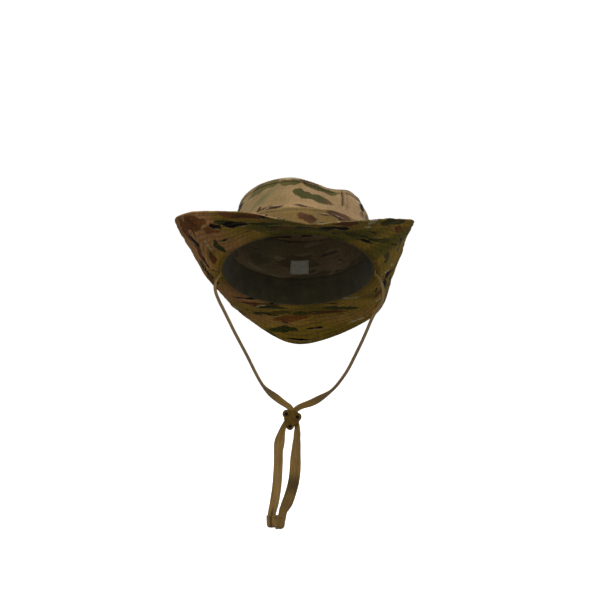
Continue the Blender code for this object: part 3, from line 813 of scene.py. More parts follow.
def seam_height(degrees):
    d = signed(np.asarray(degrees, float))
    dent = DENT_DEPTH * bell(d, DENT_AT, DENT_SPREAD)
    pinch = PINCH_DEPTH * bell(d, PINCH_AT, PINCH_SPREAD)
    settled = 0.9 * bell(d, -38, 20.0) - 1.2 * bell(d, 4, 8.0)
    settled = settled + 1.6 * bell(d, 52, 8.0)
    return SEAM_HEIGHT - dent - pinch + settled


def wall_flat(degrees, t, out):
    """The CAD's wall, square to the crown: degrees and t are equal grids."""
    bulge = 4 * WALL_BULGE * np.maximum(t, 0.0) * (1 - t)
    half = [b + (s - b) * t + bulge + out for b, s in zip(BASE_HALF, SEAM_HALF)]
    a = np.radians(degrees)
    x = half[0] * np.sin(a) + CROWN_LEAN * t
    return np.stack((x, -half[1] * np.cos(a), seam_height(degrees) * t), -1)


crumple_wall = Waves(26.0, 120.0, 22, 1.3)
crumple_fine = Waves(7.0, 24.0, 26, 1.2)
brim_wave = Waves(45.0, 140.0, 20)
brim_fine = Waves(9.0, 30.0, 28)
CREASE_LOW, CREASE_HIGH = 0.68, 0.95  # the upright fold in the front of the wall


def wall_crumple(degrees, t):
    """How far the soft wall stands off the CAD's, in millimetres. It is nothing at the foot."""
    d = signed(degrees)
    u, v = d * 1.55, t * 72.0
    free = ramp(t, 0.0, 0.35)
    soft = crumple_wall(u, v) * 0.55 * free + crumple_fine(u, v) * 0.12 * ramp(t, 0.02, 0.2)
    along = ramp(t, CREASE_LOW - 0.1, CREASE_LOW + 0.05)
    along = along * (1 - ramp(t, CREASE_HIGH, CREASE_HIGH + 0.05))
    beside = d - crease_line(t)
    fold = -2.6 * bell(beside, 0.0, 0.85)
    fold += 1.5 * bell(beside, 2.6, 2.2)
    fold += 0.5 * bell(beside, -3.4, 2.4)
    # Fine upright puckers where the wall is gathered into the top seam and into the brim seam.
    a = np.radians(d)
    top = ramp(t, 0.86, 1.0) * np.sin(a * 118 + 2 * np.sin(a * 9)) * 0.16
    foot = (1 - ramp(t, 0.0, 0.1)) * np.sin(a * 96 + 2 * np.sin(a * 7)) * 0.08
    slack = 3.8 * ramp(t, 0.0, 0.3) * (1 - ramp(t, 0.80, 1.0)) * bell(d, 82, 32.0)
    slack -= 0.5 * ramp(t, 0.85, 1.0) * bell(d, 66, 12.0)
    return soft + fold * along + top + foot + slack


def wall(degrees, t, out):
    """Points of the wall as worn, out millimetres outside its outer face, with its crumples."""
    return worn(wall_flat(degrees, t, out + wall_crumple(degrees, t)))


def wall_at(degrees, height, out):
    """The same at a height above the opening; below the wall's foot it goes straight down."""
    t = np.maximum(height, WALL_FOOT) / seam_height(degrees)
    point = wall_flat(degrees, t, out + wall_crumple(degrees, t))
    point[..., 2] += np.minimum(height - WALL_FOOT, 0.0)
    return worn(point)


def normals_of(grid):
    """Unit normals of a grid of points that closes round the hat, all to the same side."""
    around = np.roll(grid, -1, axis=0) - np.roll(grid, 1, axis=0)
    return unit(np.cross(np.gradient(grid, axis=1), around))


# --- brim --------------------------------------------------------------------------------------

EDGE_ROWS = (2.2, 5.2)  # the double row near the brim's edge, in millimetres from it
ROW_PITCH = 6.3
STITCH_ROWS = (*EDGE_ROWS, *[EDGE_ROWS[-1] + ROW_PITCH * k for k in range(1, 9)])
BRIM_HALF_THICK = 1.25
LAYER_THICK = 0.6


class Brim:
    """Both layers of the brim share one middle surface, with the same waves and puckers."""

    def __init__(self):
        self.degrees = np.arange(AROUND) * 360.0 / AROUND
        even = np.linspace(0, 1, BRIM_COLUMNS)
        self.share = np.sort(np.concatenate([even, BRIM_EXTRA_COLUMNS]))
        middle, width = brim_middle(self.degrees, self.share)
        self.width = width
        ring = [worn(flat3(oval(RING_INNER, self.degrees)))]
        near = [h - 1.6 for h in RING_OUTER]
        ring.append(worn(flat3(oval(near, self.degrees))))
        self.middle = np.concatenate([np.stack(ring, 1), middle], axis=1)
        self.share = np.concatenate([[-2.0, -1.0], self.share])
        self.across = np.maximum(self.share, 0.0)[None] * width[:, None]
        self.from_edge = (1 - np.maximum(self.share, 0.0))[None] * width[:, None]
        self.normal = normals_of(self.middle)
        up = worn((0.0, 0.0, 1.0))
        self.normal[:, :2] = up
        self.normal[:, 2] = unit(self.normal[:, 2] + up)
        if (self.normal[:, 3] @ up).mean() < 0:
            self.normal[:, 3:] *= -1
        away = outward(self.degrees)[:, None] * self.across[..., None]
        self.cloth = oval(RING_OUTER, self.degrees)[:, None] + away
        self.middle = self.middle + self.normal * self.waves()[..., None]
        self.fine_normal = normals_of(self.middle)
        self.fine_normal *= np.sign((self.fine_normal * self.normal).sum(-1, keepdims=True))
        self.fine_normal[:, :2] = up
        self.puffs = self.puff()

    def waves(self):
        u, v = self.cloth[..., 0], self.cloth[..., 1]
        free = ramp(self.across, 2.0, 40.0)
        edge = ramp(self.from_edge, 14.0, 0.0)
        wave = brim_wave(u, v) * 0.6 * free + brim_fine(u, v) * 0.16 * ramp(self.across, 1.0, 14.0)
        angle = np.radians(self.degrees)[:, None]
        wave += edge * 0.10 * np.sin(angle * 47 + 3 * np.sin(angle * 5))
        return wave

    def puff(self):
        """How far the outer faces stand off the middle: pressed in along each sewn row, with
        small puckers across the rows."""
        half = np.full_like(self.from_edge, BRIM_HALF_THICK)
        angle = np.radians(self.degrees)[:, None]
        for k, row in enumerate(STITCH_ROWS):
            d = np.abs(self.from_edge - row)
            half = half - 0.42 * bell(d, 0.0, 0.85)
            beat = np.sin(angle * (131 + 7 * k) + 2.2 * np.sin(angle * (9 + k)) + k)
            beat += 0.6 * np.sin(angle * (83 + 5 * k) + 1.7 * k)
            half = half + 0.10 * beat * bell(d, 1.6, 1.5)
        return half

    def pressed(self, amount):
        """Painted shade: how much darker the cloth is painted in the groove of each sewn row and
        near the head opening. The turned edge is a little darker too.
        """
        dark = np.zeros_like(self.from_edge)
        for row in STITCH_ROWS:
            dark = np.maximum(dark, amount * bell(self.from_edge, row, 0.7))
        dark = np.maximum(dark, 0.25 * bell(self.from_edge, 0.0, 1.2))
        # Painted shade near the head opening.
        return np.maximum(dark, 0.35 * bell(self.across, 0.5, 2.0))

    def rows_of(self, half):
        """Indices of the rows round the hat that one half uses."""
        quarter = AROUND // 4
        start = -quarter if half == "front" else quarter
        return (np.arange(AROUND // 2 + 1) + start) % AROUND

    def face(self, sign, inset):
        """One face of a layer: sign 1 is the upper layer, -1 the lower; inset is how far it lies
        inside the layer's outer face."""
        e = np.clip(self.from_edge / 1.5, 0.0, 1.0)
        turn = np.sqrt(np.maximum(1 - (1 - e) ** 2, 0.0))
        off = np.maximum(self.puffs - inset, 0.03 if inset else 0.06)
        off = np.maximum(off * turn, 0.03 if inset else 0.07)
        return self.middle + self.fine_normal * (off * sign)[..., None]

    def surface_row(self, sign, from_edge, lift=0.0):
        """A line round the outer face of a layer, at a distance from the edge."""
        outer = self.face(sign, 0.0)
        made, normals = np.empty((AROUND, 3)), np.empty((AROUND, 3))
        for i in range(AROUND):
            at = self.width[i] - from_edge
            for k in range(3):
                made[i, k] = np.interp(at, self.across[i, 2:], outer[i, 2:, k])
                normals[i, k] = np.interp(at, self.across[i, 2:], self.fine_normal[i, 2:, k])
        normals = unit(normals) * sign
        return made + normals * lift, normals


def trim(grid, share=0.10):
    """Pulls the first and last rows of a half in a little, so that a fine seam shows between."""
    grid = grid.copy()
    for edge, inside in ((0, 1), (-1, -2)):
        step = grid[inside] - grid[edge]
        grid[edge] += step * share
    return grid


def under_front_cut():
    """The print of the brim's underside in front, which the photo shows best."""
    camo = Camouflage(170, 170)
    camo.clear((-170, 170, -170, 70))
    camo.add(
        "dark",
        (-70.5, -116, 18, 6.2, -36, 0.1), (-94, -96, 9, 3.6, -44, 0.2),
        (-40, -156, 6, 3.2, -22, 0.2), (-119.5, -39, 8.5, 5.6, 14, 0.2),
        (41, -128, 21, 10.0, 22, 0.1), (9, -131, 12, 6.5, 6, 0.1), (74, -80, 15, 2.6, 46, 0.3),
        (123, -22, 24, 1.6, 86, 0.5), (-104, -8, 12, 2.2, 70, 0.4),
    )
    camo.add(
        "brown",
        (-122, -74, 26, 9.0, -52, 0.2), (-62, -146, 40, 6.5, -38, 0.3),
        (-95, -30, 14, 4.6, 72, 0.4), (-132, -50, 20, 6.0, 62, 0.5),
        (-96, -88, 15, 6.0, -48, 0.3), (60, -145, 20, 9.0, 34, 0.1),
        (20, -152, 16, 5.5, 8, 0.2), (120, -66, 9, 4.5, 60, 0.3), (-15, -120, 14, 3.0, -6, 0.3),
        (-112, -20, 20, 5.0, 70, 0.3),
    )
    camo.add(
        "green",
        (0, -122, 40, 7.5, 2, 0.2), (-35, -136, 22, 5.0, -22, 0.3),
        (-82, -112, 18, 5.0, -40, 0.3), (118, -90, 22, 6.5, 52, 0.2),
        (66, -98, 18, 5.0, 40, 0.3), (-86, -62, 12, 5.0, 60, 0.3), (100, -20, 14, 4.5, 78, 0.3),
        (92, -70, 20, 4.0, 52, 0.3),
    )
    camo.add(
        "cream",
        (96, -122, 8.5, 4.6, 44, 0.2), (86, -112, 7, 2.0, 44, 0.3),
        (-100, -52, 8, 1.4, 50, 0.6),
    )
    camo.add(
        "twig",
        (-112, -32, 7, 1.2, 40, 1.2), (40, -105, 10, 1.0, 25, 1.0),
        (-52, -108, 9, 1.0, -30, 1.0), (88, -95, 10, 1.1, 45, 1.0),
        (-92, -100, 9, 1.2, -40, 1.0), (-122, -62, 10, 1.0, 60, 1.0),
        (110, -40, 12, 1.1, 70, 0.8), (-80, -80, 10, 1.0, -50, 0.8),
        (22, -112, 12, 0.9, 12, 0.8), (-30, -112, 12, 0.9, -12, 0.8),
    )
    return camo


def under_back_cut():
    """The print of the brim's underside behind, with the marks the photo shows beside the strap."""
    camo = Camouflage(170, 170)
    camo.clear((70, 150, 0, 110))
    camo.clear((-150, -70, 0, 80))
    camo.add(
        "dark",
        (105.5, 33, 9, 7.5, 75, 0.1), (100, 56, 17, 5.0, 78, 0.2), (115, 60, 9, 2.0, 100, 0.4),
        (-104, 14, 9, 2.6, 70, 0.3), (-94, 44, 12, 2.2, 105, 0.4),
    )
    camo.add(
        "brown", (93, 78, 16, 5.0, 110, 0.3), (-100, 30, 16, 6.0, 85, 0.3),
        (-112, 60, 14, 4.0, 100, 0.3),
    )
    camo.add(
        "green", (112, 84, 15, 5.0, 105, 0.3), (-98, 58, 14, 6.0, 105, 0.3),
        (-112, 10, 12, 5.0, 80, 0.3),
    )
    camo.add(
        "cream",
        (99, 18, 10, 1.5, 24, 0.9), (114, 17, 8, 1.3, 62, 0.9), (110, 46, 8, 1.1, 105, 0.9),
        (97, 40, 7, 1.0, 80, 0.9),
    )
    camo.add(
        "twig", (118, 44, 9, 1.2, 60, 1.2), (90, 62, 9, 1.0, 100, 1.0),
        (-108, 40, 9, 1.0, 95, 1.0),
    )
    return camo


def make_brim():
    brim = Brim()
    cuts = {
        ("top", "front"): Camouflage(170, 170),
        ("top", "back"): Camouflage(170, 170),
        ("under", "front"): under_front_cut(),
        ("under", "back"): under_back_cut(),
    }
    for (side, half), camo in cuts.items():
        sign = 1 if side == "top" else -1
        rows = brim.rows_of(half)
        outer = trim(brim.face(sign, 0.0)[rows])
        inner = trim(brim.face(sign, LAYER_THICK)[rows])
        uv = brim.cloth[rows]
        fields = camo.fields(uv)
        if side == "under":
            u, v = uv[..., 0], uv[..., 1]
            tan = 0.42 * ramp(u, -112.0, -84.0) + 0.10 * ramp(u, -60.0, -20.0)
            olive = 0.42 * bell(u, 0.0, 62.0) * ramp(-v, 60.0, 100.0)
            right = 0.12 * ramp(u, 60.0, 110.0)
            fields["ground"] = np.clip(tan + olive + right + 0.45 * (fields["ground"] - 0.5), 0, 1)
        # Painted shade along the sewn rows and the head opening, deeper on the underside.
        fields["pressed"] = brim.pressed(0.38 if side == "under" else 0.16)[rows]
        name = f"brim_{side}_{half}_cloth"
        piece = shell(name, outer, inner, MATERIALS[f"camo_brim_{side}"], False, uv, fields)
        place(piece, "hat", "camo_cloth", f"brim_{side}_{half}")
    # The interlining between the layers, stopping short of the edge.
    keep = brim.share < 0.965
    upper = (brim.middle + brim.fine_normal * 0.3)[:, keep][::2]
    lower = (brim.middle - brim.fine_normal * 0.3)[:, keep][::2]
    uv = brim.cloth[:, keep][::2]
    core = shell("brim_interlining_canvas", upper, lower, MATERIALS["canvas"], True, uv)
    place(core, "hat", "lining_cloth", "brim_interlining")
    for side, sign in (("top", 1), ("under", -1)):
        for half in ("front", "back"):
            parts = []
            for from_edge in STITCH_ROWS:
                line, normals = brim.surface_row(sign, from_edge)
                rows = brim.rows_of(half)
                parts.append(stitch_row(line[rows], normals[rows]))
            made = join(f"brim_stitches_{side}_{half}", parts, MATERIALS["thread"])
            place(made, "hat", "camo_cloth")


# --- crown -------------------------------------------------------------------------------------


SEAM_GAP = 0.06  # degrees


def full_ring():
    return np.arange(AROUND) * 360.0 / AROUND


def half_ring(centre):
    """Degrees round one panel of the wall, stopping just short of the side seams."""
    return np.linspace(centre - 90 + SEAM_GAP, centre + 90 - SEAM_GAP, AROUND // 2 + 1)


def wall_cuts():
    """The prints of the wall's two panels. The front is mostly plain ground with a few patches."""
    front, back = Camouflage(150, 90), Camouflage(150, 90)
    front.clear((-110, 100, 0, 90))
    front.add(
        "green",
        (3.0, 53.6, 13, 5.2, -2, 0.1), (20.0, 50.2, 23, 5.2, -4, 0.2),
        (-54, 66.0, 25, 6.0, 14, 0.3), (-14, 67.5, 15, 4.0, 4, 0.3),
        (28, 67.0, 24, 4.6, 2, 0.3), (-98, 58.0, 10, 7.0, 30, 0.3),
    )
    front.add(
        "brown", (36, 50.0, 6, 2.6, -10, 0.3), (-96, 50, 5, 3.4, 20, 0.3),
        (-36, 33.0, 17, 3.0, 3, 0.4),
    )
    front.add("brown", (7.5, 71.0, 12, 3.4, -3, 0.3), (10, 34.5, 16, 1.6, -4, 0.5))
    front.add(
        "dark", (5.5, 71.2, 6, 2.0, -3, 0.3), (-32, 33.4, 13, 2.4, 4, 0.3),
        (-50, 36.5, 4, 1.6, 40, 0.3),
    )
    front.add(
        "twig", (-42, 35.6, 9, 1.0, 5, 0.5), (8, 35.4, 17, 1.1, -6, 0.6),
        (22, 33.0, 8, 1.1, -6, 1.2),
    )
    front.add("cream", (-12, 73.5, 12, 2.6, 0, 0.2), (97, 50, 7, 0.8, 75, 0.4))
    return {"front": front, "back": back}


def wall_fields(cuts, degrees, height):
    """The print at any place on the wall: signed degrees round from the front, and height."""
    d = signed(degrees)
    u = d * WALL_SCALE
    front = cuts["front"].fields(np.stack((u, height), -1))
    back_d = (degrees % 360.0) - 180.0
    back = cuts["back"].fields(np.stack((back_d * WALL_SCALE, height), -1))
    warm = 0.26 + 0.26 * (front["ground"] - 0.5)
    warm = warm + 0.30 * np.exp(-(((u + 42) / 34.0) ** 2 + ((height - 45) / 13.0) ** 2))
    warm = warm + 0.15 * ramp(-u, 55.0, 95.0) - 0.16 * ramp(u, 40.0, 75.0)
    # A paler, greener arc that rises from the left foot to the top seam, as in the photo.
    arc = height - (66.0 - 0.009 * (u + 8.0) ** 2)
    warm = warm + 0.34 * bell(arc, 0.0, 5.5) * ramp(-u, -12.0, 12.0)
    warm = warm + 0.10 * ramp(height, 50.0, 68.0)
    front["ground"] = np.clip(warm, 0, 1)
    front["tone"] = np.clip(0.25 + 0.5 * np.abs(u - 15) / 40 + 0.2 * (front["tone"] - 0.5), 0, 1)
    here = np.abs(d) <= 90.0
    return {key: np.where(here, front[key], back[key]) for key in front}


# Painted shade along the upright fold in the front of the wall: how much darker the cloth is
# painted there.
def crease_shade(degrees, t):
    d = signed(degrees)
    along = ramp(t, 0.66, 0.72) * (1 - ramp(t, 0.96, 0.99))
    return 0.9 * along * np.exp(-(((d - crease_line(t) + 0.1) / 1.0) ** 2))


def crease_line(t):
    """Where the upright fold in the front of the wall runs, in degrees."""
    return 39.1 + 9.0 * (t - 0.8)


def make_crown():
    foot = WALL_FOOT / SEAM_HEIGHT
    t = np.concatenate([[foot * 0.6], np.linspace(foot, 1.0, WALL_ROWS)])
    cuts = wall_cuts()
    for half, centre in (("front", 0.0), ("back", 180.0)):
        degrees = half_ring(centre)
        grid_d, grid_t = np.meshgrid(degrees, t, indexing="ij")
        outer = wall(grid_d, grid_t, 0.0)
        inner = wall(grid_d, grid_t, -WALL_THICK)
        uv = np.stack(((grid_d - centre) * WALL_SCALE, grid_t * SEAM_HEIGHT), -1)
        fields = wall_fields(cuts, grid_d, grid_t * SEAM_HEIGHT)
        # Painted shade in the wall's upright fold.
        fields["pressed"] = np.clip(crease_shade(grid_d, grid_t), 0, 1)
        printed = MATERIALS["camo_crown"]
        piece = shell(f"crown_{half}_cloth", outer, inner, printed, False, uv, fields)
        piece.data.materials.append(MATERIALS["camo_lining"])
        count = (len(degrees) - 1) * (len(t) - 1)
        back_face = np.zeros(len(piece.data.polygons), np.int32)
        back_face[count : 2 * count] = 1
        piece.data.polygons.foreach_set("material_index", back_face)
        cut_vents(piece, half)
        place(piece, "hat", "camo_cloth_light", f"crown_{half}")
    make_top(cuts)
    make_band()
    make_sweatband()
    make_label()
    make_vents()
    make_side_seams()


def vent_frame(degrees):
    d = np.array([[degrees, degrees + 1, degrees - 1, degrees]])
    t = np.array([[VENT_HEIGHT, VENT_HEIGHT, VENT_HEIGHT, VENT_HEIGHT + 0.02]])
    centre, right, left, higher = worn(wall_flat(d, t, 0.0))[0]
    return centre, unit(np.cross(right - left, higher - centre))


def cut_vents(piece, half):
    """Opens the wall at each of its vents, and joins the hole's outer and inner rims."""
    bm = bmesh.new()
    bm.from_mesh(piece.data)
    gone = []
    for name, degrees in VENTS.items():
        if not name.startswith(half):
            continue
        centre, axis = vent_frame(degrees)
        for face in bm.faces:
            offset = np.array(face.calc_center_median()) / MM - centre
            along = offset @ axis
            if abs(along) < 8 and np.linalg.norm(offset - axis * along) < VENT_BARREL - 0.4:
                gone.append(face)
    bmesh.ops.delete(bm, geom=gone, context="FACES")
    rims = [e for e in bm.edges if e.is_boundary]
    seen, loops = set(), []
    for edge in rims:
        if edge in seen:
            continue
        loop, ring = [], [edge]
        seen.add(edge)
        while ring:
            e = ring.pop()
            loop.append(e)
            for v in e.verts:
                for other in v.link_edges:
                    if other.is_boundary and other not in seen:
                        seen.add(other)
                        ring.append(other)
        loops.append(loop)
    # Each hole has an outer and an inner rim; bridge them so that the cloth stays closed.
    middles = []
    for loop in loops:
        points = {v for e in loop for v in e.verts}
        middles.append(sum((np.array(v.co) for v in points), np.zeros(3)) / len(points))
    used = set()
    for i in range(len(loops)):
        if i in used:
            continue
        best = min(
            (j for j in range(len(loops)) if j != i and j not in used),
            key=lambda j: np.linalg.norm(middles[i] - middles[j]),
            default=None,
        )
        if best is None:
            continue
        used |= {i, best}
        bmesh.ops.bridge_loops(bm, edges=loops[i] + loops[best])
    bmesh.ops.recalc_face_normals(bm, faces=bm.faces)
    bm.to_mesh(piece.data)
    bm.free()
    piece.data.shade_smooth()


TOP_SHARES = np.linspace(0.012, 1.0, 60)  # from the middle of the top panel to its seam


def make_top(cuts):
    """The top panel, a soft dome that dips with the front of the seam, and the seam round it."""
    degrees = full_ring()[::2]
    shares = TOP_SHARES
    d, share = np.meshgrid(degrees, shares, indexing="ij")
    edge = wall_flat(d, np.ones_like(d), 0.0)
    x = CROWN_LEAN + (edge[..., 0] - CROWN_LEAN) * share
    y = edge[..., 1] * share
    z = edge[..., 2] * share**1.6 + (SEAM_HEIGHT + DOME) * (1 - share**1.6)
    soft = crumple_wall(x * 1.2 + 300, y * 1.2) * 0.8 * (1 - share**3)
    soft = soft + crumple_fine(x, y + 90) * 0.14
    angle = np.radians(d)
    gather = ramp(share, 0.86, 1.0) * 0.16 * np.sin(angle * 112 + 2 * np.sin(angle * 8))
    z = z + soft * (1 - share**4) + gather + 1.05
    # The edge of the panel turns down into the seam.
    z = z - 0.5 * ramp(share, 0.97, 1.0)
    outer = worn(np.stack((x, y, z), -1))
    inner = worn(np.stack((x, y, z - 0.75), -1))
    uv = np.stack((x, y), -1)
    camo = Camouflage(110, 120)
    camo.clear((-60, 60, -95, -62))
    camo.add("cream", (-12, -80, 10, 3.5, 0, 0.2))
    camo.add("green", (-40, -74, 16, 5.0, 30, 0.3), (30, -78, 18, 4.5, -20, 0.3))
    fields = camo.fields(uv)
    fields["pressed"] = np.zeros_like(x)
    cap(outer, inner, uv, fields, cuts)


SEAM_SIDES = 22


def cap(outer, inner, uv, fields, cuts):
    """The top panel as one closed body: two dished faces, each closed at its middle, and a rim."""
    rows, columns = outer.shape[:2]
    count = rows * columns
    faces = [grid_faces(rows, columns, 0, True), grid_faces(rows, columns, count, True)[:, ::-1]]
    i = np.arange(rows)
    n = (i + 1) % rows
    a, b = i * columns + columns - 1, n * columns + columns - 1
    faces.append(np.stack((a, b, b + count, a + count), -1))
    listed = np.concatenate(faces).tolist()
    hub = 2 * count
    for k in range(rows):
        m = (k + 1) % rows
        listed.append([k * columns, m * columns, hub])
        listed.append([m * columns + count, k * columns + count, hub + 1])
    centres = np.stack((outer[:, 0].mean(0), inner[:, 0].mean(0)))
    points = np.concatenate([outer.reshape(-1, 3), inner.reshape(-1, 3), centres])
    flat = np.concatenate([uv.reshape(-1, 2)] * 2 + [uv[:, 0].mean(0, keepdims=True)] * 2)
    both = {
        k: np.concatenate([v.ravel(), v.ravel(), [v[:, 0].mean()] * 2]) for k, v in fields.items()
    }
    piece = make_mesh("crown_top_cloth", points, listed, MATERIALS["camo_crown"], flat, both)
    place(piece, "hat", "camo_cloth_light", "crown_top")
    # The seam: cloth folded over the join, fat where it is folded and flat along its sewn row.
    degrees = full_ring()
    turns = [2 * math.pi * k / SEAM_SIDES for k in range(SEAM_SIDES)]
    d = np.repeat(degrees[:, None], SEAM_SIDES, 1)
    across = np.array([[math.cos(a) for a in turns]])
    upward = np.array([[math.sin(a) for a in turns]])
    angle = np.radians(d)
    gather = 0.10 * np.sin(angle * 118 + 2 * np.sin(angle * 9))
    along = -1.1 + 2.5 * np.sign(upward) * np.abs(upward) ** 0.6
    out = 0.34 + 0.40 * np.sign(across) * np.abs(across) ** 0.6 + gather * 0.6
    height = seam_height(d) + np.minimum(along, 0.0)
    t = height / seam_height(d)
    point = wall_flat(d, t, out + wall_crumple(d, t))
    point[..., 2] += np.maximum(along, 0.0)
    ring = worn(point)
    rows, columns = ring.shape[:2]
    i, j = np.meshgrid(np.arange(rows), np.arange(columns), indexing="ij")
    n, m = (i + 1) % rows, (j + 1) % columns
    i, n = i * columns, n * columns
    quads = np.stack((i + j, n + j, n + m, i + m), -1).reshape(-1, 4)
    level = SEAM_HEIGHT + along + 0 * d
    uv = np.stack((signed(d) * WALL_SCALE, level), -1)
    fields = wall_fields(cuts, d, level)
    fields["pressed"] = np.zeros_like(d)
    seam = make_mesh("top_seam_fold", ring, quads, MATERIALS["camo_crown"], uv, fields)
    place(seam, "hat", "camo_cloth_light", "top_seam_tape")
    # Two sewn rows: on the seam itself, and just inside it on the top panel.
    up = worn((0.0, 0.0, 1.0))
    parts = []
    face = np.argmax(across[0])
    line = ring[:, face] * 0.5 + ring[:, (face - 1) % columns] * 0.5
    normal = unit(worn(flat3(oval((1.0, 1.0), degrees))))
    parts.append(stitch_row(line + normal * 0.02, normal, 2.6, closed=True))
    column = int(np.searchsorted(TOP_SHARES, 0.955))
    ups = np.tile(up, (len(outer), 1))
    parts.append(stitch_row(outer[:, column] + up * 0.02, ups, 2.6, closed=True))
    made = join("top_seam_stitches", parts, MATERIALS["thread_light"])
    place(made, "hat", "camo_cloth_light")


BAND_TACKS = 12
BAND_TACK_FROM = 15.0


def band_out(d):
    """How far the foliage band stands off the wall: sewn down at each tack, loose between."""
    pitch = 360.0 / BAND_TACKS
    share = ((d - BAND_TACK_FROM) % pitch) / pitch
    arch = np.sin(np.pi * share) ** 0.8
    return 0.25 + 1.15 * np.abs(arch)


def make_band():
    degrees = full_ring()
    rows = np.linspace(0, 1, 26)
    d, s = np.meshgrid(degrees, rows, indexing="ij")
    height = BAND_LOW + (BAND_HIGH - BAND_LOW) * s
    sag = 0.5 * crumple_fine(d * BAND_SCALE + 70, height) * 0.3
    hem = 0.28 * (bell(s, 0.06, 0.07) + bell(s, 0.94, 0.07))
    sewn = -0.22 * (bell(s, 0.13, 0.025) + bell(s, 0.87, 0.025))
    off = band_out(d)
    edge = np.sqrt(np.clip(1 - (1 - np.clip(np.minimum(s, 1 - s) / 0.03, 0, 1)) ** 2, 0, 1))
    height = height + 0.4 * np.sin(np.radians(d) * 31) * 0.4
    inner = wall_at(d, height, off)
    outer = wall_at(d, height, off + 0.25 + (0.7 + hem + sewn + sag * 0.3) * edge)
    camo = Camouflage(300, 40)
    camo.clear((-95, 95, 0, 40))
    camo.add(
        "brown", (10, 18.5, 12, 5.4, -6, 0.3), (53, 26.0, 19, 6.5, -6, 0.2),
        (-66, 24, 16, 4.0, 6, 0.4),
    )
    camo.add("green", (-78, 16, 12, 4.0, 6, 0.3), (34, 12, 14, 2.6, 0, 0.3))
    camo.add(
        "twig", (-27, 19, 5, 1.3, 12, 1.4), (-20, 16.5, 5, 1.2, 0, 1.4),
        (30, 25, 8, 1.0, -5, 0.8),
    )
    camo.add("dark", (-45, 24, 7, 1.8, 4, 0.4), (48, 24.5, 8, 1.6, -6, 0.4))
    camo.add("cream", (88, 20, 6, 1.2, 0, 0.3))
    round_from_front = np.where(d > 180, d - 360, d)
    uv = np.stack((round_from_front * BAND_SCALE, height), -1)
    fields = camo.fields(uv)
    near = ramp(np.abs(round_from_front), 62.0, 50.0)
    ground = fields["ground"] * (1 - near) + near * (0.25 + 0.3 * fields["ground"])
    behind = ramp(np.abs(round_from_front), 150.0, 178.0)  # the band's two ends meet there
    fields["ground"] = np.clip(ground * (1 - behind) + 0.4 * behind, 0, 1)
    sewn_at = np.maximum(bell(s, 0.13, 0.03), bell(s, 0.87, 0.03))
    # Painted shade along the band's two sewn rows.
    fields["pressed"] = 0.3 * sewn_at + 0.0 * d
    band = shell("foliage_band_cloth", outer, inner, MATERIALS["camo_band"], True, uv, fields)
    place(band, "hat", "camo_cloth", "foliage_band")
    parts = []
    normals = normals_of(outer)
    outwards = worn(flat3(oval((1.0, 1.0), degrees)))
    if (normals[:, 13] * outwards).sum(-1).mean() < 0:
        normals = -normals
    for share in (0.13, 0.87):
        k = int(round(share * (len(rows) - 1)))
        parts.append(stitch_row(outer[:, k], normals[:, k], 2.8, closed=True))
    for k in range(BAND_TACKS):
        centre = int(round((BAND_TACK_FROM + k * 360.0 / BAND_TACKS) / 360.0 * AROUND)) % AROUND
        for step in (-1, 0, 1):
            row = (centre + step) % AROUND
            parts.append(stitch_row(outer[row, 3:-3], normals[row, 3:-3], 1.15, 0.12, 0.36))
    made = join("foliage_band_stitches", parts, MATERIALS["thread"])
    place(made, "hat", "camo_cloth")


def make_sweatband():
    degrees = full_ring()
    rows = np.linspace(0, 1, 24)
    d, s = np.meshgrid(degrees, rows, indexing="ij")
    height = SWEAT_LOW + (SWEAT_HIGH - SWEAT_LOW) * s
    angle = np.radians(d)
    ease = 0.35 * ramp(s, 0.2, 1.0) * (np.sin(angle * 23 + 2 * np.sin(angle * 3)) * 0.5 - 0.5)
    fold = 0.25 * bell(s, 0.95, 0.05) + 0.2 * bell(s, 0.04, 0.04)
    near = -WALL_THICK - 0.3
    outer = wall_at(d, height, near + ease * 0.6 - 0.05)
    inner = wall_at(d, height, near - 0.75 - fold + ease)
    uv = np.stack((d * 1.55, height), -1)
    band = shell("sweatband_twill", outer, inner, MATERIALS["sweat"], True, uv)
    place(band, "hat", "olive_cloth", "sweatband")
    inwards = -worn(flat3(oval((1.0, 1.0), degrees)))
    parts = [stitch_row(inner[:, k], inwards, 3.0, closed=True) for k in (2, 20)]
    made = join("sweatband_stitches", parts, MATERIALS["thread_tape"])
    place(made, "hat", "olive_cloth")


def make_label():
    d, h = np.meshgrid(np.linspace(172.0, 188.0, 34), np.linspace(35.0, 51.0, 24), indexing="ij")
    near = -WALL_THICK - 0.28
    curl = 0.25 * np.sin(np.radians(d - 172.0) * 22.5) * ramp(h, 38.0, 51.0)
    outer = wall_at(d, h, near)
    inner = wall_at(d, h, near - 0.32 - curl * 0.4)
    uv = np.stack((d * WALL_SCALE, h), -1)
    label = shell("size_label_blank", outer, inner, MATERIALS["label"], False, uv)
    place(label, "hat", "label_cloth", "size_label")
    inwards = -worn(flat3(oval((1.0, 1.0), d)))
    parts = []
    down, along = slice(2, -2), slice(1, -1)
    for rows, columns in ((down, 1), (down, -2), (2, along), (-3, along)):
        parts.append(stitch_row(inner[rows, columns], inwards[rows, columns], 1.9, 0.5, 0.3))
    made = join("size_label_stitches", parts, MATERIALS["thread"])
    place(made, "hat", "label_cloth")


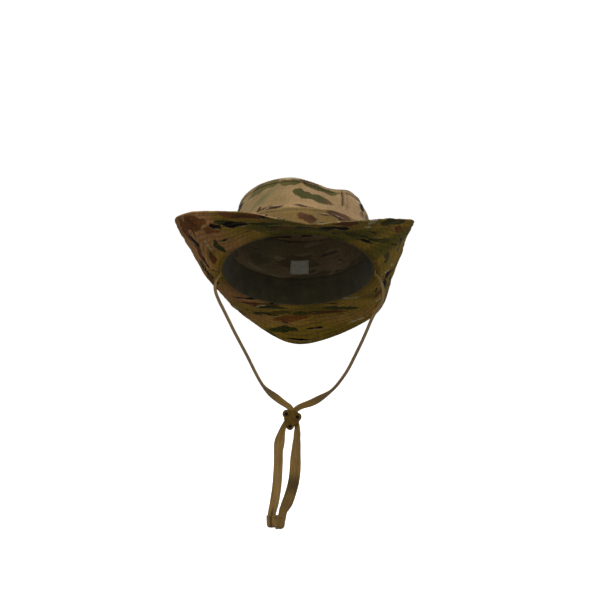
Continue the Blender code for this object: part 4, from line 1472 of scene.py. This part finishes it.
def make_vents():
    for name, degrees in VENTS.items():
        centre, axis = vent_frame(degrees)
        lift = float(wall_crumple(np.array([degrees]), np.array([VENT_HEIGHT]))[0])
        centre = centre + axis * lift
        flange = [
            (VENT_HOLE, 0.55), (VENT_HOLE + 0.25, 0.85), (VENT_HOLE + 0.8, 1.0),
            (VENT_FLANGE - 1.0, 0.92), (VENT_FLANGE - 0.4, 0.72), (VENT_FLANGE - 0.05, 0.38),
            (VENT_FLANGE, 0.12), (VENT_FLANGE - 0.15, -0.05), (VENT_BARREL, -0.05),
            (VENT_BARREL, -3.1), (VENT_BARREL - 0.2, -3.3), (VENT_HOLE + 0.1, -3.3),
            (VENT_HOLE, -3.1),
        ]
        eyelet = join(f"vent_eyelet_ring_{name}", [turned(centre, axis, flange)], MATERIALS["vent"])
        washer_profile = [
            (VENT_BARREL + 0.05, -1.35), (VENT_FLANGE + 0.1, -1.35), (VENT_FLANGE + 0.2, -1.6),
            (VENT_FLANGE - 0.1, -1.95), (VENT_BARREL + 0.6, -2.15), (VENT_BARREL + 0.05, -2.1),
        ]
        turning = [turned(centre, axis, washer_profile)]
        washer = join(f"vent_washer_ring_{name}", turning, MATERIALS["vent"])
        side = unit(np.cross(axis, (0.0, 0.0, 1.0)))
        other = np.cross(axis, side)
        parts, reach = [], VENT_HOLE + 0.1
        for way, cross in ((side, other), (other, side)):
            for k in range(-6, 7):
                offset = k * WIRE_PITCH
                half = math.sqrt(max(reach**2 - offset**2, 0.0))
                if half < 0.4:
                    continue
                at = np.linspace(-half, half, 26)
                sign = 1.0 if way is side else -1.0
                weave = 0.11 * sign * np.cos(np.pi * at / WIRE_PITCH + np.pi * k)
                line = centre + way * at[:, None] + cross * offset + axis * (weave - 0.7)[:, None]
                parts.append(wire(line, axis, WIRE_HALF, WIRE_HIGH))
        screen = join(f"vent_screen_wire_{name}", parts, MATERIALS["mesh_wire"])
        for piece, node, slot in (
            (eyelet, "vent_eyelet", "vent_metal"), (washer, "vent_washer", "vent_metal"),
            (screen, "vent_screen", "vent_mesh"),
        ):
            place(piece, "hat", slot, f"{node}_{name}")


def make_side_seams():
    """Two sewn rows beside each seam where the wall's front and back panels meet."""
    parts = []
    t = np.linspace(0.06, 0.955, 60)
    for centre in (-90.0, 90.0):
        for offset in (-1.1, 1.1, 3.6):
            d = np.full_like(t, centre + offset)
            line = wall(d, t, 0.0)
            normal = worn(flat3(oval((1.0, 1.0), d)))
            parts.append(stitch_row(line, normal, 2.6))
    made = join("crown_side_stitches", parts, MATERIALS["thread_light"])
    place(made, "hat", "camo_cloth_light")


# --- chin strap --------------------------------------------------------------------------------


def smooth_line(points, step, pieces):
    """Points about step apart along a smooth curve through the given ones, and the way to each.
    The curve is drawn as that many short pieces between two given points."""
    points = np.array(points, float)
    padded = np.vstack([2 * points[0] - points[1], points, 2 * points[-1] - points[-2]])
    fine = []
    for p0, p1, p2, p3 in zip(padded, padded[1:], padded[2:], padded[3:]):
        for u in np.linspace(0, 1, pieces, endpoint=False):
            square, cube = 2 * p0 - 5 * p1 + 4 * p2 - p3, 3 * p1 - p0 - 3 * p2 + p3
            fine.append(0.5 * (2 * p1 + (p2 - p0) * u + square * u**2 + cube * u**3))
    fine = np.array([*fine, points[-1]])
    run = np.concatenate([[0], np.cumsum(np.linalg.norm(np.diff(fine, axis=0), axis=1))])
    at = np.linspace(0, run[-1], math.ceil(run[-1] / step) + 1)
    return np.stack([np.interp(at, run, values) for values in fine.T], axis=1), at


RIBS = 7
RIB_HEIGHT = 0.13
SIDE_POINTS = 43  # across each face of the tape
EDGE_POINTS = 4


def tape_section(width):
    """The tape's outline: ribs along both faces, round selvedges. Gives across, out and painted
    shade, high in the grooves between the ribs.
    """
    x = np.linspace(-1, 1, SIDE_POINTS)
    rib = np.cos(np.pi * RIBS * (x + 1))
    fade = ramp(1 - np.abs(x), 0.0, 0.08)
    face = TAPE_THICK / 2 - RIB_HEIGHT * (0.5 - 0.5 * rib) * fade
    groove = (0.5 - 0.5 * rib) * fade
    flat = width / 2 - TAPE_THICK / 2
    across = list(x * flat)
    out = list(face)
    section_shade = list(groove)
    for k in range(1, EDGE_POINTS + 1):
        a = math.pi / 2 - math.pi * k / (EDGE_POINTS + 1)
        across.append(flat + TAPE_THICK / 2 * math.cos(a))
        out.append(TAPE_THICK / 2 * math.sin(a))
        section_shade.append(0.1)
    across += list(x[::-1] * flat)
    out += list(-face[::-1])
    section_shade += list(groove[::-1])
    for k in range(1, EDGE_POINTS + 1):
        a = -math.pi / 2 - math.pi * k / (EDGE_POINTS + 1)
        across.append(-flat + TAPE_THICK / 2 * math.cos(a))
        out.append(TAPE_THICK / 2 * math.sin(a))
        section_shade.append(0.1)
    return np.array(across), np.array(out), np.array(section_shade)


def woven(name, rings, uv, tape_shades):
    """A length of tape from the outlines along it."""
    faces = tube_faces(len(rings), len(rings[0]))
    fields = {"groove": np.array(tape_shades)}
    return make_mesh(name, np.array(rings), faces, MATERIALS["tape"], np.array(uv), fields)


def make_tape(name, points, depth, twist, width, cup=None, crease=None, dim=None):
    """Flat woven tape along a route. depth, twist, width and cup give a value for each share of the
    way along: millimetres back, degrees that it faces the front, millimetres wide, and how far its
    middle is pushed out of flat. crease says where it is folded lengthwise, with painted shade
    along the fold, and dim says where painted shade darkens it as if it lies in its own shade."""
    line, run = smooth_line(points, 0.9, 16)
    tangent = np.gradient(line, axis=0)
    share = run / run[-1]
    along = unit(np.stack((tangent[:, 0], 0 * share, tangent[:, 1]), -1))
    flat = np.stack((along[:, 2], 0 * share, -along[:, 0]), -1)
    turn = np.radians(twist(share))[:, None]
    normal = flat * np.cos(turn) + np.array((0.0, -1.0, 0.0)) * np.sin(turn)
    across = np.cross(along, normal)
    centre = np.stack((line[:, 0], depth(share), line[:, 1]), -1)
    wide = width(share)
    bend = cup(share) if cup else 0 * share
    folded = crease(share) if crease else 0 * share
    shade = dim(share) if dim else 0 * share
    rings, uv, tape_shades = [], [], []
    ripple = Waves(16.0, 60.0, 10)(run, 0 * run) * 0.12
    for i in range(len(share)):
        a, o, g = tape_section(wide[i])
        squeeze = 1 - (2 * a / wide[i]) ** 2
        nip = bell(a, 0.0, 1.1) * folded[i]
        lift = o + ripple[i] + bend[i] * squeeze + 0.35 * nip
        rings.append(centre[i] + across[i] * a[:, None] + normal[i] * lift[:, None])
        uv.append(np.stack((a / wide[i] * TAPE_WIDTH, np.full(len(a), run[i])), -1))
        # Painted shade in the rib grooves, along the lengthwise fold and over the stretch in its
        # own shade.
        tape_shades.append(g + 1.4 * nip + shade[i] * (0.7 + 0.3 * squeeze))
    return woven(name, rings, uv, tape_shades), centre, run[-1]


def make_strap():
    """The two upper strands and the two tails, with how each one turns and narrows on its way."""
    gathered, narrow = 3.2, 6.8  # widths at the brim and above the slider, in millimetres
    squeezed, folded_width = 6.0, 9.4  # widths below the slider and at the folded end
    made = {}
    for side, points, sign in (("right", RIGHT_ROUTE, -1), ("left", LEFT_ROUTE, 1)):
        made[f"{side}_upper"] = make_tape(
            f"chin_strap_{side}_upper_tape",
            points,
            lambda s, sign=sign: sign * 1.0 * ramp(s, 0.75, 0.93),
            lambda s, sign=sign: -sign * (14 + 76 * ramp(s, 0.72, 0.95)),
            lambda s: gathered
            + (TAPE_WIDTH - gathered) * ramp(s, 0.0, 0.08)
            - (TAPE_WIDTH - narrow) * ramp(s, 0.76, 0.93),
            lambda s: 0.5 * ramp(s, 0.0, 0.2) * (1 - ramp(s, 0.7, 0.9)),
        )

    def tail_width(s):
        wide = squeezed + (TAPE_WIDTH - squeezed) * ramp(s, 0.06, 0.28)
        return wide - (TAPE_WIDTH - folded_width) * ramp(s, 0.78, 0.9)

    def folded(s):
        return ramp(s, 0.80, 0.90)

    def shade(s):
        return 1.1 * bell(s, 0.62, 0.11) + 0.35 * ramp(s, 0.7, 0.8)

    for side, points, sign, turns, cup, crease, dim in (
        ("right", RIGHT_TAIL, -1, ((0.16, 0.34, -36.0), (0.8, 0.93, 36.0)), -0.9, folded, None),
        ("left", LEFT_TAIL, 1, ((0.10, 0.2, 40.0), (0.24, 0.52, -40.0)), 0.7, None, shade),
    ):
        made[f"{side}_tail"] = make_tape(
            f"chin_strap_{side}_tail_tape",
            points,
            lambda s, sign=sign: sign * 0.85 * (1 - ramp(s, 0.02, 0.1)),
            lambda s, turns=turns: 90.0 + sum(by * ramp(s, a, b) for a, b, by in turns) + 0 * s,
            tail_width,
            lambda s, by=cup: by * ramp(s, 0.25, 0.6) * (1 - ramp(s, 0.75, 0.9)),
            crease,
            dim,
        )
    return made


def make_tab():
    """The end: each tape turned up and sewn down, side by side, with a bar tack across both."""
    pieces = []
    cx, cz = TAB_CENTRE
    # Centre, width, lean, how far its lower end is raised, narrowed and moved across.
    ends = ((cx - 5.3, 9.9, -1.0, 1.7, 2.4, 1.0), (cx + 4.75, 10.9, 2.0, 0.0, 4.6, -1.6))
    for k, (x, wide, lean, raised, narrowed, moved) in enumerate(ends):
        high = TAB_HALF[2]
        foot = cz - high + raised
        line = (
            (x + 0.3 * lean, 1.35, cz + high - 0.2), (x + 0.1 * lean, 1.4, cz + 2.0),
            (x - 0.1 * lean, 1.4, foot + 2.6), (x - 0.15 * lean, 1.1, foot + 1.1),
            (x - 0.15 * lean, 0.0, foot + 0.45), (x - 0.15 * lean, -1.1, foot + 1.1),
            (x - 0.1 * lean, -1.4, foot + 2.6), (x + 0.1 * lean, -1.4, cz + 1.0),
            (x + 0.3 * lean, -1.35, cz + high - 0.6),
        )
        fine, run = smooth_line(line, 0.5, 14)
        tangent = unit(np.gradient(fine, axis=0))
        across = np.tile((1.0, 0.0, 0.0), (len(fine), 1))
        across = unit(across - tangent * (across * tangent).sum(-1, keepdims=True))
        normal = np.cross(tangent, across)
        rings, uv, tape_shades = [], [], []
        low = np.clip((fine[:, 2] - (foot + 0.45)) / 5.0, 0.0, 1.0)
        corner = 1 - np.sqrt(np.clip(1 - (1 - low) ** 2.4, 0.0, 1.0))
        for i in range(len(fine)):
            a, o, g = tape_section(wide - narrowed * corner[i])
            squeeze = bell(a, 0.0, 1.1) * (-0.42 if k == 0 else 0.0)
            a = a + moved * corner[i]
            lift = (o + squeeze * 0.6)[:, None]
            rings.append(fine[i] + across[i] * a[:, None] + normal[i] * lift)
            uv.append(np.stack((a, np.full(len(a), run[i])), -1))
            # Painted shade along the dip in the middle of the right end; the left end is a little
            # darker all over.
            tape_shades.append(g + (bell(a, 0.0, 1.0) * 1.5 if k == 0 else 0.35))
        side = "right" if k == 0 else "left"
        piece = woven(f"strap_end_fold_{side}", rings, uv, tape_shades)
        place(piece, "chin_strap", "strap_tape")
        pieces.append(piece)
    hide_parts("strap_end_tab")
    parts = []
    for y, sign in ((-2.08, -1.0), (2.08, 1.0)):
        for z in (cz + 5.9, cz + 4.9, cz - 4.6):
            x = np.linspace(cx - 8.8, cx + 8.4, 30)
            line = np.stack((x, np.full_like(x, y), np.full_like(x, z)), -1)
            parts.append(stitch_row(line, np.tile((0.0, sign, 0.0), (len(x), 1)), 1.7, 0.35, 0.45))
    sewn = join("strap_end_stitches", parts, MATERIALS["thread_tape"])
    place(sewn, "chin_strap", "strap_tape")
    return [*pieces, sewn]


# --- slider ------------------------------------------------------------------------------------


def slider_outline(count=168):
    """The plate's outline: a round lobe about each rivet and a waist between. Gives its centre,
    the ways out from there and how far the outline reaches each way."""
    centre = np.array(SLIDER_CENTRE)
    reaches, ways = [], []
    for k in range(count):
        a = 2 * math.pi * k / count
        way = np.array((math.cos(a), math.sin(a)))
        reach = SLIDER_WAIST
        for rivet in SLIDER_RIVETS:
            offset = np.array(rivet) - centre
            along = way @ offset
            beside = offset @ offset - along**2
            if along > 0 and beside < SLIDER_LOBE**2:
                reach = max(reach, along + math.sqrt(SLIDER_LOBE**2 - beside))
        reaches.append(reach)
        ways.append(way)
    reaches = np.array(reaches)
    kernel = np.exp(-np.linspace(-1.6, 1.6, 9) ** 2)
    kernel /= kernel.sum()
    wrapped = np.concatenate([reaches[-4:], reaches, reaches[:4]])
    reaches = np.convolve(wrapped, kernel, "valid")
    return centre, np.array(ways), reaches


def make_slider():
    centre, ways, reach = slider_outline()
    pieces = []
    rim = (
        (0.9, PLATE_NEAR), (0.35, PLATE_NEAR), (0.1, PLATE_NEAR + 0.12),
        (0.0, PLATE_NEAR + 0.35), (0.0, PLATE_FAR - 0.55), (0.12, PLATE_FAR - 0.25),
        (0.45, PLATE_FAR - 0.05), (0.9, PLATE_FAR),
    )
    rings = [(reach - inset, y) for inset, y in rim]
    shares = (0.82, 0.62, 0.42, 0.22, 0.06)
    crown = [((reach - 0.9) * k, PLATE_FAR + 0.14 * (1 - k**2)) for k in shares]
    for name, sign in (("front", -1.0), ("back", 1.0)):
        outline = []
        for r, y in rings + crown:
            flat = centre + ways * r[:, None]
            outline.append(np.stack((flat[:, 0], np.full(len(r), sign * y), flat[:, 1]), -1))
        grid = np.array(outline)
        faces = tube_faces(*grid.shape[:2])
        piece = make_mesh(f"slider_{name}_leather", grid, faces, MATERIALS["leather"])
        place(piece, "slider", "slider_leather", f"slider_{name}")
        pieces.append(piece)
    face = PLATE_FAR + 0.02
    for k, (x, z) in enumerate(SLIDER_RIVETS):
        half = [
            (1.05, face - 0.5), (1.15, face + 0.22), (1.35, face + 0.42), (1.65, face + 0.45),
            (1.9, face + 0.32), (2.0, face + 0.05), (1.9, face - 0.1), (1.25, face - 0.2),
        ]
        profile = half + [(r, -y) for r, y in half[::-1]]
        ring = turned(np.array((x, 0.0, z)), (0.0, 1.0, 0.0), profile, 40)
        rivet = join(f"slider_rivet_{k + 1}_tube", [ring], MATERIALS["rivet"])
        # The hollow of each rivet is filled with a near-black plug just under its crown: painted
        # shade for the dark hollow.
        plug = [(0.02, face + 0.2), (0.6, face + 0.22), (1.1, face + 0.18)]
        plug += [(1.1, face - 0.4), (0.02, face - 0.4)]
        plugs = [turned(np.array((x, 0.0, z)), (0.0, sign, 0.0), plug, 32) for sign in (-1.0, 1.0)]
        hole = join(f"slider_rivet_{k + 1}_core", plugs, MATERIALS["rivet_hollow_shade"])
        place(rivet, "slider", "rivet_metal", f"slider_rivet_{k + 1}")
        place(hole, "slider", "rivet_metal")
        pieces += [rivet, hole]
    return pieces


def make_anchors():
    """The round sewn end of each strand at the brim, centred on the axis of the strap's swing."""
    half = [(0.02, 0.7), (3.8, 0.7), (4.25, 0.55), (4.4, 0.28)]
    outline = half + [(r, -out) for r, out in half[::-1]]
    for side, x in (("left", 86.0), ("right", -86.0)):
        disc = turned(np.array((x, 0.0, SWING_AT)), (1.0, 0.0, 0.0), outline)
        end = join(f"strap_anchor_{side}", [disc], MATERIALS["tape"])
        place(end, "chin_strap", "strap_tape")



def declare_tape(made, node):
    """Hides the CAD node of one tape and bakes the tape's transform into its mesh."""
    piece, line, length = made
    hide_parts(node)
    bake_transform(piece)


def declare_strap(tapes):
    for side in ("right", "left"):
        upper, tail = f"{side}_upper", f"{side}_tail"
        declare_tape(tapes[upper], f"chin_strap_{upper}")
        declare_tape(tapes[tail], f"chin_strap_{tail}")


# --- studio ------------------------------------------------------------------------------------

FLOOR_AT = -0.2915


def make_studio():
    ends = [(x, y, FLOOR_AT / MM) for x in (-20000.0, 20000.0) for y in (-20000.0, 20000.0)]
    t = Tree("floor_paper", Roughness=0.95, Specular_IOR_Level=0.1)
    patch = t.noise(t.object_point(), 3.0, 2.0)
    t.link(t.mix(t.between(patch, 0.3, 0.7), (0.92, 0.92, 0.92), (0.95, 0.95, 0.95)), "Base Color")
    t.bsdf.inputs["Emission Color"].default_value = (1.0, 1.0, 1.0, 1.0)
    t.bsdf.inputs["Emission Strength"].default_value = 0.45
    floor = make_mesh("floor", ends, [[0, 2, 3, 1]], t.material)
    floor.visible_diffuse = False
    floor.visible_glossy = False

    world = bpy.data.worlds.new("studio")
    scene.world = world
    world.use_nodes = True
    tree = world.node_tree
    background = tree.nodes["Background"]
    coord = tree.nodes.new("ShaderNodeTexCoord")
    split = tree.nodes.new("ShaderNodeSeparateXYZ")
    tree.links.new(coord.outputs["Generated"], split.inputs[0])
    level = tree.nodes.new("ShaderNodeMapRange")
    level.interpolation_type = "SMOOTHSTEP"
    level.inputs["From Min"].default_value = -0.5
    level.inputs["From Max"].default_value = 0.6
    level.inputs["To Min"].default_value = 0.21
    level.inputs["To Max"].default_value = 0.75
    tree.links.new(split.outputs["Z"], level.inputs["Value"])
    path = tree.nodes.new("ShaderNodeLightPath")
    mix = tree.nodes.new("ShaderNodeMix")
    mix.data_type = "FLOAT"
    tree.links.new(path.outputs["Is Camera Ray"], mix.inputs[0])
    tree.links.new(level.outputs["Result"], mix.inputs[2])
    mix.inputs[3].default_value = 1.02
    tree.links.new(mix.outputs[0], background.inputs["Strength"])
    background.inputs["Color"].default_value = (1.0, 1.0, 1.0, 1.0)

    def lamp(name, place, aim, size, power):
        data = bpy.data.lights.new(name, "AREA")
        data.shape = "SQUARE"
        data.size = size
        data.energy = power
        obj = bpy.data.objects.new(name, data)
        obj.location = place
        way = np.array(aim, float) - np.array(place, float)
        obj.rotation_euler = Vector(way).to_track_quat("-Z", "Y").to_euler()
        scene.collection.objects.link(obj)

    lamp("key", (-0.5, -1.6, 1.9), (0, 0, 0), 1.4, 26.0)
    lamp("top", (0.3, 0.2, 2.2), (0, 0, 0), 2.0, 22.0)
    lamp("back", (0.6, 2.2, 1.3), (0, 0, 0), 1.6, 12.0)
    scene.view_settings.view_transform = "Standard"


make_camera()
tapes = make_strap()
tab_pieces = make_tab()
make_anchors()
slider_pieces = make_slider()
declare_strap(tapes)
make_brim()
make_crown()
make_studio()
